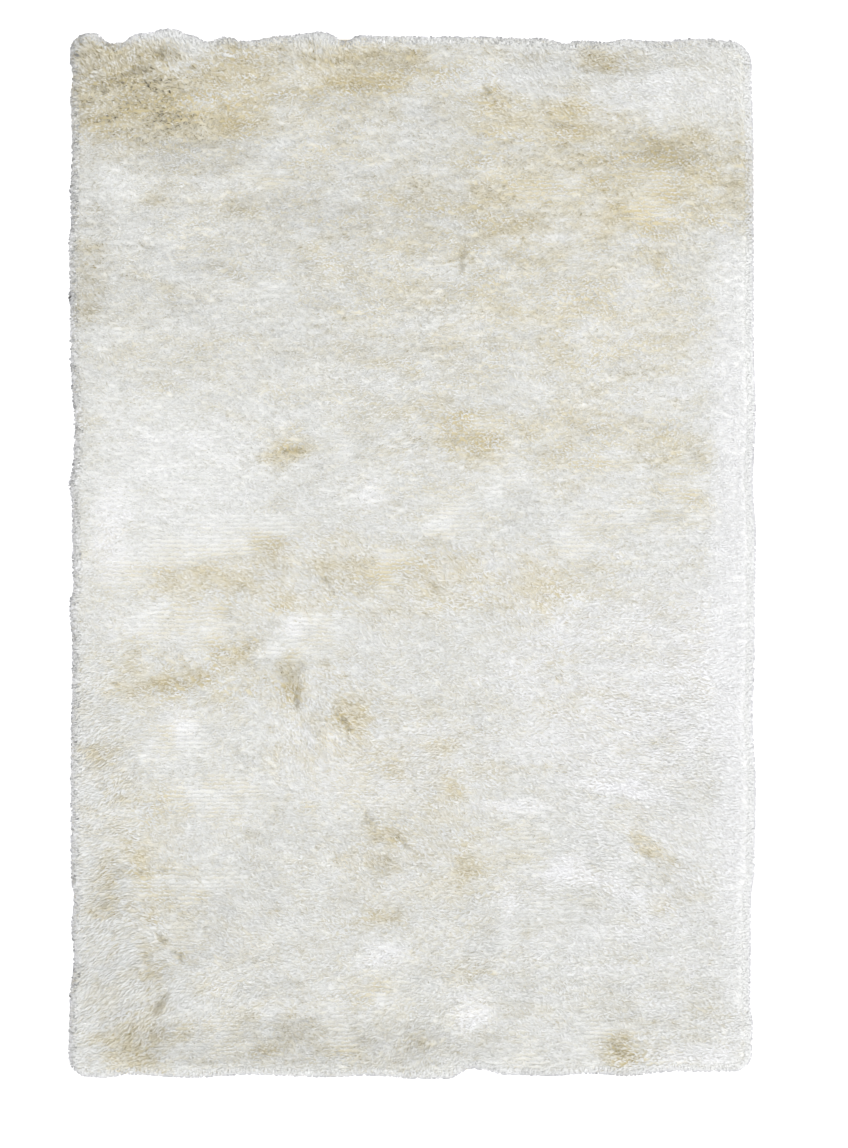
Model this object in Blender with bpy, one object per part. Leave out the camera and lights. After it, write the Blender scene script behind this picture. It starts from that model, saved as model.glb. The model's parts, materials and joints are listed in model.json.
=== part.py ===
"""Shag rug: one flat slab of laid-over pile, lumpy on top, with tapered locks round its rim.

Units are metres and +Z is up. The rug lies flat on Z = 0, its length runs along Y
and its width along X, with the middle of its underside at the origin.
"""

import math
import random
from collections import namedtuple

import bmesh
import bpy
from mathutils import Vector, noise

MM = 0.001

# Size of the rug across the tips of its locks, before each edge's own waviness.
RUG_WIDTH = 1512 * MM
RUG_LENGTH = 2300 * MM

# Pile over the field of the rug.
PILE_HEIGHT = 31 * MM
SWELL_RISE = 3 * MM
SWELL_LENGTH = 260 * MM
SWELL_WIDTH = 150 * MM
CLUMP_RISE = 6 * MM
CLUMP_LENGTH = 105 * MM
CLUMP_WIDTH = 70 * MM
TUFT_RISE = 7 * MM
TUFT_SHIFT = 9 * MM

# Cells of pile across and along the field. Three locks stand at the rim for each two cells.
CELLS_ACROSS = 38
CELLS_ALONG = 58
CELLS_PER_GROUP = 2
LOCKS_PER_GROUP = 3

# The rim in section, from the field out to the sole: distance in from the lock tips, and height.
CROWN_INSET = 41 * MM
CROWN_DROP = 3 * MM
SHOULDER_INSET = 21 * MM
SHOULDER_HEIGHT = 23 * MM
SHOULDER_WAVE = 3 * MM
ROOT_INSET = 15 * MM
ROOT_HEIGHT = 9 * MM
ROOT_WAVE = 2 * MM
SOLE_INSET = 18 * MM

# A lock is a four-sided strand that leaves the rim wall and lies down on the floor.
# Its knee and tip widths are shares of the step between two locks.
KNEE_REACH = 0.52
KNEE_WIDTH = 0.74
KNEE_HEIGHT = 12.5 * MM
TIP_WIDTH = 0.42
TIP_WIDTH_SPREAD = 0.12
TIP_HEIGHT = 4 * MM
LOCK_SHORTEST = 6 * MM
LOCK_LONGEST = 3 * MM
LOCK_SWEEP = 5 * MM
LOCK_SWEEP_SPREAD = 2 * MM

OUTLINE_STEP = 8 * MM
ARC_STEPS = 8
SEED = 23

# Where an edge's locks reach past (or fall short of) the plain rectangle, from measured stations.
# along_mm runs from left to right on the top and bottom edges, and upwards on the two sides.
EdgeRow = namedtuple("EdgeRow", "along_mm out_mm")

TOP_EDGE = [
    EdgeRow(-705, 10),
    EdgeRow(-668, -13),
    EdgeRow(-645, -11),
    EdgeRow(-614, 8),
    EdgeRow(-530, 20),
    EdgeRow(-490, 5),
    EdgeRow(-455, -9),
    EdgeRow(-415, 2),
    EdgeRow(-375, -8),
    EdgeRow(-295, 3),
    EdgeRow(-200, 13),
    EdgeRow(-175, 4),
    EdgeRow(-152, -9),
    EdgeRow(-118, 4),
    EdgeRow(120, 2),
    EdgeRow(290, -2),
    EdgeRow(335, -12),
    EdgeRow(370, -6),
    EdgeRow(422, -10),
    EdgeRow(466, -4),
    EdgeRow(545, -8),
    EdgeRow(630, -2),
    EdgeRow(700, -6),
]
RIGHT_EDGE = [
    EdgeRow(-1090, -6),
    EdgeRow(-1033, -4),
    EdgeRow(-985, -10),
    EdgeRow(-750, -8),
    EdgeRow(-690, 0),
    EdgeRow(-500, 2),
    EdgeRow(-345, -5),
    EdgeRow(-230, 0),
    EdgeRow(60, 2),
    EdgeRow(160, -4),
    EdgeRow(312, 2),
    EdgeRow(470, -2),
    EdgeRow(880, -3),
    EdgeRow(1080, -7),
]
BOTTOM_EDGE = [
    EdgeRow(-715, 0),
    EdgeRow(-685, 3),
    EdgeRow(-630, -5),
    EdgeRow(-490, 2),
    EdgeRow(-360, -5),
    EdgeRow(-190, 1),
    EdgeRow(-100, -3),
    EdgeRow(10, 4),
    EdgeRow(76, 4),
    EdgeRow(132, -19),
    EdgeRow(152, -15),
    EdgeRow(200, -5),
    EdgeRow(295, -2),
    EdgeRow(395, -7),
    EdgeRow(470, -2),
    EdgeRow(575, -12),
    EdgeRow(700, -12),
]
LEFT_EDGE = [
    EdgeRow(-1090, 7),
    EdgeRow(-970, 5),
    EdgeRow(-892, -5),
    EdgeRow(-820, 1),
    EdgeRow(-750, -5),
    EdgeRow(-715, 1),
    EdgeRow(-450, 2),
    EdgeRow(-190, -1),
    EdgeRow(-113, 5),
    EdgeRow(-70, -2),
    EdgeRow(110, -1),
    EdgeRow(160, 5),
    EdgeRow(205, -3),
    EdgeRow(290, -6),
    EdgeRow(440, 3),
    EdgeRow(700, 6),
    EdgeRow(740, 1),
    EdgeRow(808, 4),
    EdgeRow(880, 0),
    EdgeRow(1020, 3),
    EdgeRow(1065, -1),
    EdgeRow(1105, 4),
]

# The four corners, anticlockwise from the bottom left.
CornerRow = namedtuple("CornerRow", "side_x side_y radius_mm")

CORNERS = [
    CornerRow(-1, -1, 44),
    CornerRow(1, -1, 52),
    CornerRow(1, 1, 62),
    CornerRow(-1, 1, 36),
]

# Single clumps and hollows that stand out from the rest of the pile.
# x_mm and y_mm place the middle, length_mm runs along turn_deg, and rise_mm is below zero for a hollow.
LumpRow = namedtuple("LumpRow", "x_mm y_mm length_mm width_mm turn_deg rise_mm")

LUMPS = [
    LumpRow(-545, 1085, 190, 60, 4, 6),
    LumpRow(-640, 1075, 60, 50, 90, -6),
    LumpRow(-240, 1090, 160, 55, 3, 5),
    LumpRow(-420, 1075, 70, 50, 0, -5),
    LumpRow(-480, 960, 380, 90, 2, -5),
    LumpRow(330, 620, 150, 110, 60, 5),
    LumpRow(110, 665, 120, 35, 88, -7),
    LumpRow(560, 900, 220, 70, 6, -5),
    LumpRow(520, 1000, 260, 80, 4, 5),
    LumpRow(-560, 130, 320, 190, 8, 4),
    LumpRow(90, 290, 150, 110, 20, -5),
    LumpRow(-500, -255, 230, 70, 8, -5),
    LumpRow(-285, -290, 70, 45, 80, -6),
    LumpRow(-140, -380, 120, 60, -50, -6),
    LumpRow(60, -520, 90, 50, 70, 5),
    LumpRow(-70, -690, 170, 90, 20, -5),
    LumpRow(400, -560, 330, 70, -8, 5),
    LumpRow(470, -690, 160, 60, -30, -5),
    LumpRow(-580, -1010, 120, 190, 10, -6),
    LumpRow(450, -1090, 100, 70, 0, -6),
]

PILE_COLOUR = (0.76, 0.745, 0.69, 1.0)
PILE_ROUGHNESS = 0.85
PILE_SHEEN = 0.4


def edge_offset(rows, along):
    """Smoothed reach of an edge at a place along it."""
    here = along / MM
    if here <= rows[0].along_mm:
        return rows[0].out_mm * MM
    for low, high in zip(rows, rows[1:]):
        if here <= high.along_mm:
            share = (here - low.along_mm) / (high.along_mm - low.along_mm)
            share = share * share * (3 - 2 * share)
            return (low.out_mm + share * (high.out_mm - low.out_mm)) * MM
    return rows[-1].out_mm * MM


def straight_run(rows, start, end, outward):
    """Points along one edge between its corners' arcs, from start to end."""
    count = max(2, round((end - start).length / OUTLINE_STEP))
    points = []
    for step in range(count + 1):
        point = start.lerp(end, step / count)
        along = point.y if outward.y == 0 else point.x
        points.append(point + outward * edge_offset(rows, along))
    return points


def corner_arc(corner, first, last):
    """Points round one corner, its reach blended from the end of one edge to the start of the next."""
    radius = corner.radius_mm * MM
    centre = Vector((
        corner.side_x * (RUG_WIDTH / 2 - radius),
        corner.side_y * (RUG_LENGTH / 2 - radius),
    ))
    middle = math.atan2(corner.side_y, corner.side_x)
    points = []
    for step in range(1, ARC_STEPS):
        share = step / ARC_STEPS
        angle = middle + (share - 0.5) * math.pi / 2
        reach = radius + first + share * (last - first)
        points.append(centre + reach * Vector((math.cos(angle), math.sin(angle))))
    return points


def outline_sections():
    """The lock tips' outline as four open runs, each from the middle of one corner to the next's."""
    half_x = RUG_WIDTH / 2
    half_y = RUG_LENGTH / 2
    edges = [
        (BOTTOM_EDGE, Vector((0, -1))),
        (RIGHT_EDGE, Vector((1, 0))),
        (TOP_EDGE, Vector((0, 1))),
        (LEFT_EDGE, Vector((-1, 0))),
    ]
    runs = []
    for index, (rows, outward) in enumerate(edges):
        here = CORNERS[index]
        there = CORNERS[(index + 1) % len(CORNERS)]
        travel = Vector((-outward.y, outward.x))
        start = Vector((here.side_x * half_x, here.side_y * half_y)) + travel * here.radius_mm * MM
        end = Vector((there.side_x * half_x, there.side_y * half_y)) - travel * there.radius_mm * MM
        runs.append(straight_run(rows, start, end, outward))
    reaches = []
    for rows, outward in edges:
        first, last = (rows[0], rows[-1]) if outward.y < 0 or outward.x > 0 else (rows[-1], rows[0])
        reaches.append((first.out_mm * MM, last.out_mm * MM))
    arcs = []
    for index, corner in enumerate(CORNERS):
        arcs.append(corner_arc(corner, reaches[index - 1][1], reaches[index][0]))
    half = len(arcs[0]) // 2
    sections = []
    for index, run in enumerate(runs):
        following = arcs[(index + 1) % len(arcs)]
        sections.append(arcs[index][half:] + run + following[: half + 1])
    return sections


def spread_evenly(points, count):
    """The same run with count equal steps; its last point is left to the next run."""
    lengths = [0.0]
    for low, high in zip(points, points[1:]):
        lengths.append(lengths[-1] + (high - low).length)
    spread = []
    place = 0
    for step in range(count):
        wanted = lengths[-1] * step / count
        while lengths[place + 1] < wanted:
            place += 1
        share = (wanted - lengths[place]) / (lengths[place + 1] - lengths[place])
        spread.append(points[place].lerp(points[place + 1], share))
    return spread


def closed_ring(sections, counts):
    """One closed ring of points and their outward directions, with counts steps on each section."""
    points = []
    for section, count in zip(sections, counts):
        points.extend(spread_evenly(section, count))
    outwards = []
    for index in range(len(points)):
        ahead = points[(index + 2) % len(points)]
        behind = points[index - 2]
        travel = (ahead - behind).normalized()
        outwards.append(Vector((travel.y, -travel.x)))
    return points, outwards


def lump_height(x, y):
    """Rise of the single clumps and hollows at a place."""
    rise = 0.0
    for lump in LUMPS:
        turn = math.radians(lump.turn_deg)
        dx = x - lump.x_mm * MM
        dy = y - lump.y_mm * MM
        along = (dx * math.cos(turn) + dy * math.sin(turn)) / (lump.length_mm * MM / 2)
        across = (dy * math.cos(turn) - dx * math.sin(turn)) / (lump.width_mm * MM / 2)
        rise += lump.rise_mm * MM * math.exp(-along * along - across * across)
    return rise


def pile_top(x, y):
    """Height of the pile over the floor: broad swells, clumps lying across the rug, and single lumps."""
    swell = noise.noise(Vector((x / SWELL_LENGTH, y / SWELL_WIDTH, 3.7)))
    bend = 0.35 * noise.noise(Vector((x / SWELL_LENGTH, y / SWELL_LENGTH, 9.1)))
    clump = noise.noise(Vector((x / CLUMP_LENGTH + bend, y / CLUMP_WIDTH - bend, 6.3)))
    return PILE_HEIGHT + 2 * SWELL_RISE * swell + 2 * CLUMP_RISE * clump + lump_height(x, y)


def field_points(ring, columns, rows):
    """The field's grid of places, stretched between the four sides of its boundary ring."""
    bottom = [ring[i] for i in range(columns + 1)]
    right = [ring[columns + i] for i in range(rows + 1)]
    top = [ring[2 * columns + rows - i] for i in range(columns + 1)]
    left = [ring[-i] for i in range(rows + 1)]
    grid = []
    for j in range(rows + 1):
        v = j / rows
        line = []
        for i in range(columns + 1):
            u = i / columns
            sides = (1 - u) * left[j] + u * right[j] + (1 - v) * bottom[i] + v * top[i]
            corners = (1 - v) * ((1 - u) * bottom[0] + u * bottom[-1])
            corners += v * ((1 - u) * top[0] + u * top[-1])
            line.append(sides - corners)
        grid.append(line)
    return grid


def add_field(bm, ring, chance):
    """Lumpy top of the field. Gives back its boundary vertices in the ring's own order."""
    columns, rows = CELLS_ACROSS, CELLS_ALONG
    places = field_points(ring, columns, rows)
    verts = []
    for j, line in enumerate(places):
        row = []
        for i, place in enumerate(line):
            on_edge = i in (0, columns) or j in (0, rows)
            x, y = place
            if not on_edge:
                x += chance.uniform(-TUFT_SHIFT, TUFT_SHIFT)
                y += chance.uniform(-TUFT_SHIFT, TUFT_SHIFT)
            height = pile_top(x, y) + chance.uniform(-TUFT_RISE, TUFT_RISE)
            if on_edge:
                height -= CROWN_DROP
            row.append(bm.verts.new((x, y, height)))
        verts.append(row)
    for j in range(rows):
        for i in range(columns):
            low_left, low_right = verts[j][i], verts[j][i + 1]
            high_left, high_right = verts[j + 1][i], verts[j + 1][i + 1]
            if (i + j) % 2:
                bm.faces.new((low_left, low_right, high_right))
                bm.faces.new((low_left, high_right, high_left))
            else:
                bm.faces.new((low_left, low_right, high_left))
                bm.faces.new((low_right, high_right, high_left))
    boundary = [verts[0][i] for i in range(columns)]
    boundary += [verts[j][columns] for j in range(rows)]
    boundary += [verts[rows][columns - i] for i in range(columns)]
    boundary += [verts[rows - j][0] for j in range(rows)]
    return boundary


def add_ring(bm, points, outwards, inset, heights):
    """A ring of vertices set in from the lock tips."""
    ring = []
    for point, outward, height in zip(points, outwards, heights):
        place = point - inset * outward
        ring.append(bm.verts.new((place.x, place.y, height)))
    return ring


def zip_rings(bm, inner, outer):
    """Triangles between two rings, the outer with three steps for each two of the inner."""
    groups = len(inner) // CELLS_PER_GROUP
    for group in range(groups):
        a = [inner[(group * CELLS_PER_GROUP + k) % len(inner)] for k in range(CELLS_PER_GROUP + 1)]
        b = [outer[(group * LOCKS_PER_GROUP + k) % len(outer)] for k in range(LOCKS_PER_GROUP + 1)]
        bm.faces.new((a[0], b[0], b[1]))
        bm.faces.new((a[0], b[1], a[1]))
        bm.faces.new((a[1], b[1], b[2]))
        bm.faces.new((a[1], b[2], a[2]))
        bm.faces.new((a[2], b[2], b[3]))


def wall_between(bm, upper, lower):
    """Four-sided faces between two rings of the same count, facing out."""
    faces = []
    for index in range(len(upper)):
        after = (index + 1) % len(upper)
        faces.append(bm.faces.new((upper[index], lower[index], lower[after], upper[after])))
    return faces


def section_corners(centre, aside, half_width, low, high):
    """A lock's section across its run: upper and lower corners on its first and second side."""
    first = centre - aside * half_width
    second = centre + aside * half_width
    return (
        Vector((first.x, first.y, high)),
        Vector((first.x, first.y, low)),
        Vector((second.x, second.y, low)),
        Vector((second.x, second.y, high)),
    )


def draw_lock(bm, face, root, tip, pitch, tip_width):
    """Draw one lock out of its root face: down to the floor at its knee, then along it to its tip."""
    run = (tip - root).normalized()
    aside = Vector((-run.y, run.x))
    sections = [
        (root.lerp(tip, KNEE_REACH), KNEE_WIDTH, KNEE_HEIGHT),
        (tip, tip_width, TIP_HEIGHT),
    ]
    for centre, width, height in sections:
        drawn = bmesh.ops.extrude_discrete_faces(bm, faces=[face])
        face = drawn["faces"][0]
        corners = section_corners(centre, aside, width * pitch / 2, 0.0, height)
        for vert, corner in zip(face.verts, corners):
            vert.co = corner


def build_rug():
    """The whole rug as one closed mesh."""
    chance = random.Random(SEED)
    sections = outline_sections()
    cells = [CELLS_ACROSS, CELLS_ALONG, CELLS_ACROSS, CELLS_ALONG]
    locks = [count * LOCKS_PER_GROUP // CELLS_PER_GROUP for count in cells]
    crown_points, crown_outwards = closed_ring(sections, cells)
    points, outwards = closed_ring(sections, locks)
    count = len(points)

    bm = bmesh.new()
    crown = [point - CROWN_INSET * out for point, out in zip(crown_points, crown_outwards)]
    boundary = add_field(bm, crown, chance)

    shoulder_heights = [SHOULDER_HEIGHT + chance.uniform(-1, 1) * SHOULDER_WAVE for _ in range(count)]
    root_heights = [ROOT_HEIGHT + chance.uniform(-1, 1) * ROOT_WAVE for _ in range(count)]
    shoulder = add_ring(bm, points, outwards, SHOULDER_INSET, shoulder_heights)
    root = add_ring(bm, points, outwards, ROOT_INSET, root_heights)
    sole = add_ring(bm, points, outwards, SOLE_INSET, [0.0] * count)
    zip_rings(bm, boundary, shoulder)
    lock_faces = wall_between(bm, shoulder, root)
    wall_between(bm, root, sole)
    bm.faces.new(sole[::-1])

    for index, face in enumerate(lock_faces):
        after = (index + 1) % count
        edge = points[after] - points[index]
        middle = (points[index] + points[after]) / 2
        outward = (outwards[index] + outwards[after]).normalized()
        root_centre = middle - (SHOULDER_INSET + ROOT_INSET) / 2 * outward
        sweep = LOCK_SWEEP * noise.noise(Vector((middle.x / SWELL_WIDTH, middle.y / SWELL_WIDTH, 1.9)))
        sweep += chance.uniform(-LOCK_SWEEP_SPREAD, LOCK_SWEEP_SPREAD)
        reach = chance.uniform(-LOCK_SHORTEST, LOCK_LONGEST)
        tip_width = TIP_WIDTH + chance.uniform(-TIP_WIDTH_SPREAD, TIP_WIDTH_SPREAD)
        tip = middle + reach * outward + sweep * edge.normalized()
        draw_lock(bm, face, root_centre, tip, edge.length, tip_width)

    bmesh.ops.recalc_face_normals(bm, faces=bm.faces)
    return bm


def centre_on_origin(mesh):
    """Put the middle of the rug's box over the origin."""
    xs = [vert.co.x for vert in mesh.vertices]
    ys = [vert.co.y for vert in mesh.vertices]
    shift = Vector((-(min(xs) + max(xs)) / 2, -(min(ys) + max(ys)) / 2, 0.0))
    for vert in mesh.vertices:
        vert.co += shift


def pile_material():
    """Pale ivory yarn with a soft lustre."""
    material = bpy.data.materials.new("ivory_pile")
    material.use_nodes = True
    surface = material.node_tree.nodes["Principled BSDF"]
    surface.inputs["Base Color"].default_value = PILE_COLOUR
    surface.inputs["Roughness"].default_value = PILE_ROUGHNESS
    surface.inputs["Metallic"].default_value = 0.0
    surface.inputs["Sheen Weight"].default_value = PILE_SHEEN
    return material


def main():
    for existing in list(bpy.data.objects):
        bpy.data.objects.remove(existing, do_unlink=True)
    bm = build_rug()
    mesh = bpy.data.meshes.new("shag_rug")
    bm.to_mesh(mesh)
    bm.free()
    centre_on_origin(mesh)
    mesh.materials.append(pile_material())
    rug = bpy.data.objects.new("shag_rug", mesh)
    bpy.context.collection.objects.link(rug)


main()
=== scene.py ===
"""Shag rug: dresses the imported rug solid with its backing, its dense pile bed and its laid-over yarn."""

import json
import math
from collections import namedtuple
from functools import lru_cache
import bpy
import numpy as np
from bpy.props import FloatProperty, FloatVectorProperty, IntProperty, PointerProperty
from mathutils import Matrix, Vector
from mathutils.bvhtree import BVHTree

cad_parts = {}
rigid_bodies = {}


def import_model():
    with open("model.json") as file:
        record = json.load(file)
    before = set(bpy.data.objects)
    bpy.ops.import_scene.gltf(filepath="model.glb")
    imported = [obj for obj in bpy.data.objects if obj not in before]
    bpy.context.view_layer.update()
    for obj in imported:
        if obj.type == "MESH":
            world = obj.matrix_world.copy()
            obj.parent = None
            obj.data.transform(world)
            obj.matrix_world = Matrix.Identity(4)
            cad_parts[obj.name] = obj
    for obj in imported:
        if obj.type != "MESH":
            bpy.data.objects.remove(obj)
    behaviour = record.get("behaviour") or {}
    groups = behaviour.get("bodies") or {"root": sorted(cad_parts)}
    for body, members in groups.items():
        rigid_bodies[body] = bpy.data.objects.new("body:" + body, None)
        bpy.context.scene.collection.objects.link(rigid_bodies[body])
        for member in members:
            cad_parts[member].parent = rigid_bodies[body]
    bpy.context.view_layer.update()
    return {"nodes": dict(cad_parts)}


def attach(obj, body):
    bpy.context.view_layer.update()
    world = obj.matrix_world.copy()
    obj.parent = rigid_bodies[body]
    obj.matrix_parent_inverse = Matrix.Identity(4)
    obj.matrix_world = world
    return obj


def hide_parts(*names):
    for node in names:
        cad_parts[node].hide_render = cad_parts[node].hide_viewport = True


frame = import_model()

bl_info = {
    "name": "Shag Rug",
    "version": (1, 0, 0),
    "blender": (4, 5, 0),
    "location": "View3D > Sidebar > Rug",
    "description": "Lays backing, pile bed and laid-over yarn on a rug's solid",
    "category": "Object",
}

SOLID_NODE = "shag_rug"
MM = 0.001

# ---- The rug's plan ----
# Places in the tables are plan steps, counted right and down from the plan's corner, with the rug's
# own middle at PLAN_MIDDLE.

PLAN_STEP = 2.2125 * MM
PLAN_MIDDLE = (412.8, 554.3)

RUG_WIDTH = 1512 * MM
RUG_LENGTH = 2300 * MM
RUG_SHIFT = (1.0 * MM, -6.5 * MM)
OUTLINE_STEP = 6 * MM
ARC_STEPS = 10

# How far each edge stands out from the plan's straight side, at places along it.
EdgeRow = namedtuple("EdgeRow", "along_mm out_mm")

TOP_EDGE = [EdgeRow(*row) for row in (
    (-705, 10), (-668, -13), (-645, -11), (-614, 8), (-530, 20), (-490, 5), (-455, -9), (-415, 2),
    (-375, -8), (-295, 3), (-200, 13), (-175, 4), (-152, -9), (-118, 4), (120, 2), (290, -2),
    (335, -12), (370, -6), (422, -10), (466, -4), (545, -8), (630, -2), (700, -6),
)]
RIGHT_EDGE = [EdgeRow(*row) for row in (
    (-1090, -6), (-1033, -4), (-985, -10), (-750, -8), (-690, 0), (-500, 2), (-345, -5), (-230, 0),
    (60, 2), (160, -4), (312, 2), (470, -2), (880, -3), (1080, -7),
)]
BOTTOM_EDGE = [EdgeRow(*row) for row in (
    (-715, 0), (-685, 3), (-630, -5), (-490, 2), (-360, -5), (-190, 1), (-100, -3), (10, 4), (76, 4),
    (132, -19), (152, -15), (200, -5), (295, -2), (395, -7), (470, -2), (575, -12), (700, -12),
)]
LEFT_EDGE = [EdgeRow(*row) for row in (
    (-1090, 7), (-970, 5), (-892, -5), (-820, 1), (-750, -5), (-715, 1), (-450, 2), (-190, -1),
    (-113, 5), (-70, -2), (110, -1), (160, 5), (205, -3), (290, -6), (440, 3), (700, 6), (740, 1),
    (808, 4), (880, 0), (1020, 3), (1065, -1), (1105, 4),
)]

CornerRow = namedtuple("CornerRow", "side_x side_y radius_mm")

CORNERS = [
    CornerRow(-1, -1, 44),
    CornerRow(1, -1, 52),
    CornerRow(1, 1, 62),
    CornerRow(-1, 1, 36),
]

# How the pile is brushed: round each place it points along heading, in degrees anticlockwise from
# the rug's right. sweep is how long it lies, against the usual length.
LayRow = namedtuple("LayRow", "x y reach heading weight sweep")

LAYS = [LayRow(*row) for row in (
    (86, 56, 26, 130, 2.0, 1.3), (122, 62, 22, 105, 1.5, 0.8), (172, 46, 34, 96, 2.0, 1.4),
    (240, 60, 35, 120, 1.0, 0.9), (320, 46, 40, 96, 1.5, 1.1), (180, 115, 90, 188, 1.3, 0.6),
    (280, 100, 50, 192, 1.0, 0.7), (420, 100, 90, 183, 1.0, 0.7), (500, 90, 40, 150, 1.0, 1.0),
    (570, 85, 40, 148, 1.3, 1.0), (650, 85, 60, 160, 1.0, 1.1), (655, 155, 60, 165, 1.3, 0.7),
    (700, 215, 50, 176, 1.0, 0.8), (520, 215, 60, 186, 1.0, 0.7), (150, 205, 70, 178, 1.0, 0.7),
    (260, 250, 90, 182, 1.0, 0.7), (130, 340, 80, 168, 1.0, 0.7), (338, 280, 28, 118, 1.2, 0.9),
    (463, 300, 50, 200, 1.0, 0.7), (560, 290, 40, 225, 1.0, 0.9), (610, 340, 50, 180, 1.0, 0.7),
    (650, 262, 30, 142, 1.2, 0.7), (300, 350, 60, 172, 1.0, 0.7), (420, 340, 60, 192, 1.0, 0.7),
    (180, 500, 120, 178, 1.3, 0.65), (295, 450, 35, 158, 1.3, 0.8), (410, 425, 30, 218, 1.3, 1.0),
    (465, 425, 45, 168, 1.0, 0.9), (480, 500, 70, 178, 1.0, 0.6), (600, 450, 100, 172, 1.0, 0.7),
    (690, 520, 60, 172, 1.0, 0.8), (200, 590, 60, 142, 1.2, 1.2), (290, 590, 60, 140, 1.2, 1.2),
    (370, 590, 50, 134, 1.2, 1.1), (450, 585, 60, 140, 1.2, 1.1), (540, 575, 60, 162, 1.2, 0.9),
    (110, 590, 50, 192, 1.0, 0.8), (650, 640, 110, 172, 1.2, 0.9), (420, 645, 80, 174, 1.0, 0.8),
    (250, 635, 60, 178, 1.0, 0.7), (105, 700, 45, 214, 1.3, 1.2), (170, 680, 50, 176, 1.0, 0.8),
    (290, 690, 30, 126, 1.2, 0.9), (350, 715, 40, 132, 1.4, 1.2), (430, 745, 35, 214, 1.2, 1.1),
    (300, 765, 45, 104, 1.2, 0.9), (200, 740, 45, 204, 1.0, 0.8), (510, 720, 60, 176, 1.0, 0.9),
    (640, 710, 70, 154, 1.4, 1.3), (640, 785, 90, 166, 1.2, 1.2), (100, 775, 45, 214, 1.2, 1.2),
    (210, 800, 60, 180, 1.0, 0.6), (190, 860, 50, 116, 1.2, 0.9), (110, 870, 40, 224, 1.2, 1.2),
    (330, 860, 50, 152, 1.2, 0.9), (395, 840, 40, 138, 1.3, 1.1), (460, 830, 40, 146, 1.2, 1.0),
    (530, 845, 34, 178, 1.2, 0.6), (570, 880, 50, 158, 1.2, 1.2), (650, 870, 60, 152, 1.4, 1.3),
    (95, 940, 40, 236, 1.2, 1.3), (230, 940, 60, 150, 1.2, 1.0), (420, 930, 80, 177, 1.0, 0.9),
    (640, 930, 90, 172, 1.0, 0.9), (110, 995, 45, 228, 1.3, 1.3), (165, 1010, 40, 234, 1.3, 1.0),
    (235, 990, 40, 250, 0.8, 0.8), (345, 1010, 45, 176, 1.0, 0.8), (420, 1025, 40, 232, 1.0, 0.8),
    (550, 1020, 50, 128, 1.1, 0.9), (640, 985, 90, 172, 1.0, 1.0), (690, 1050, 50, 150, 1.0, 1.1),
)]

# Where the yarn is creamier (warm), and where painted light makes it paler or painted shade darker (light),
# than the rest.
# length and width are half sizes, and length lies along turn, in degrees.
ToneRow = namedtuple("ToneRow", "x y length width warm light turn", defaults=(0,))

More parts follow.
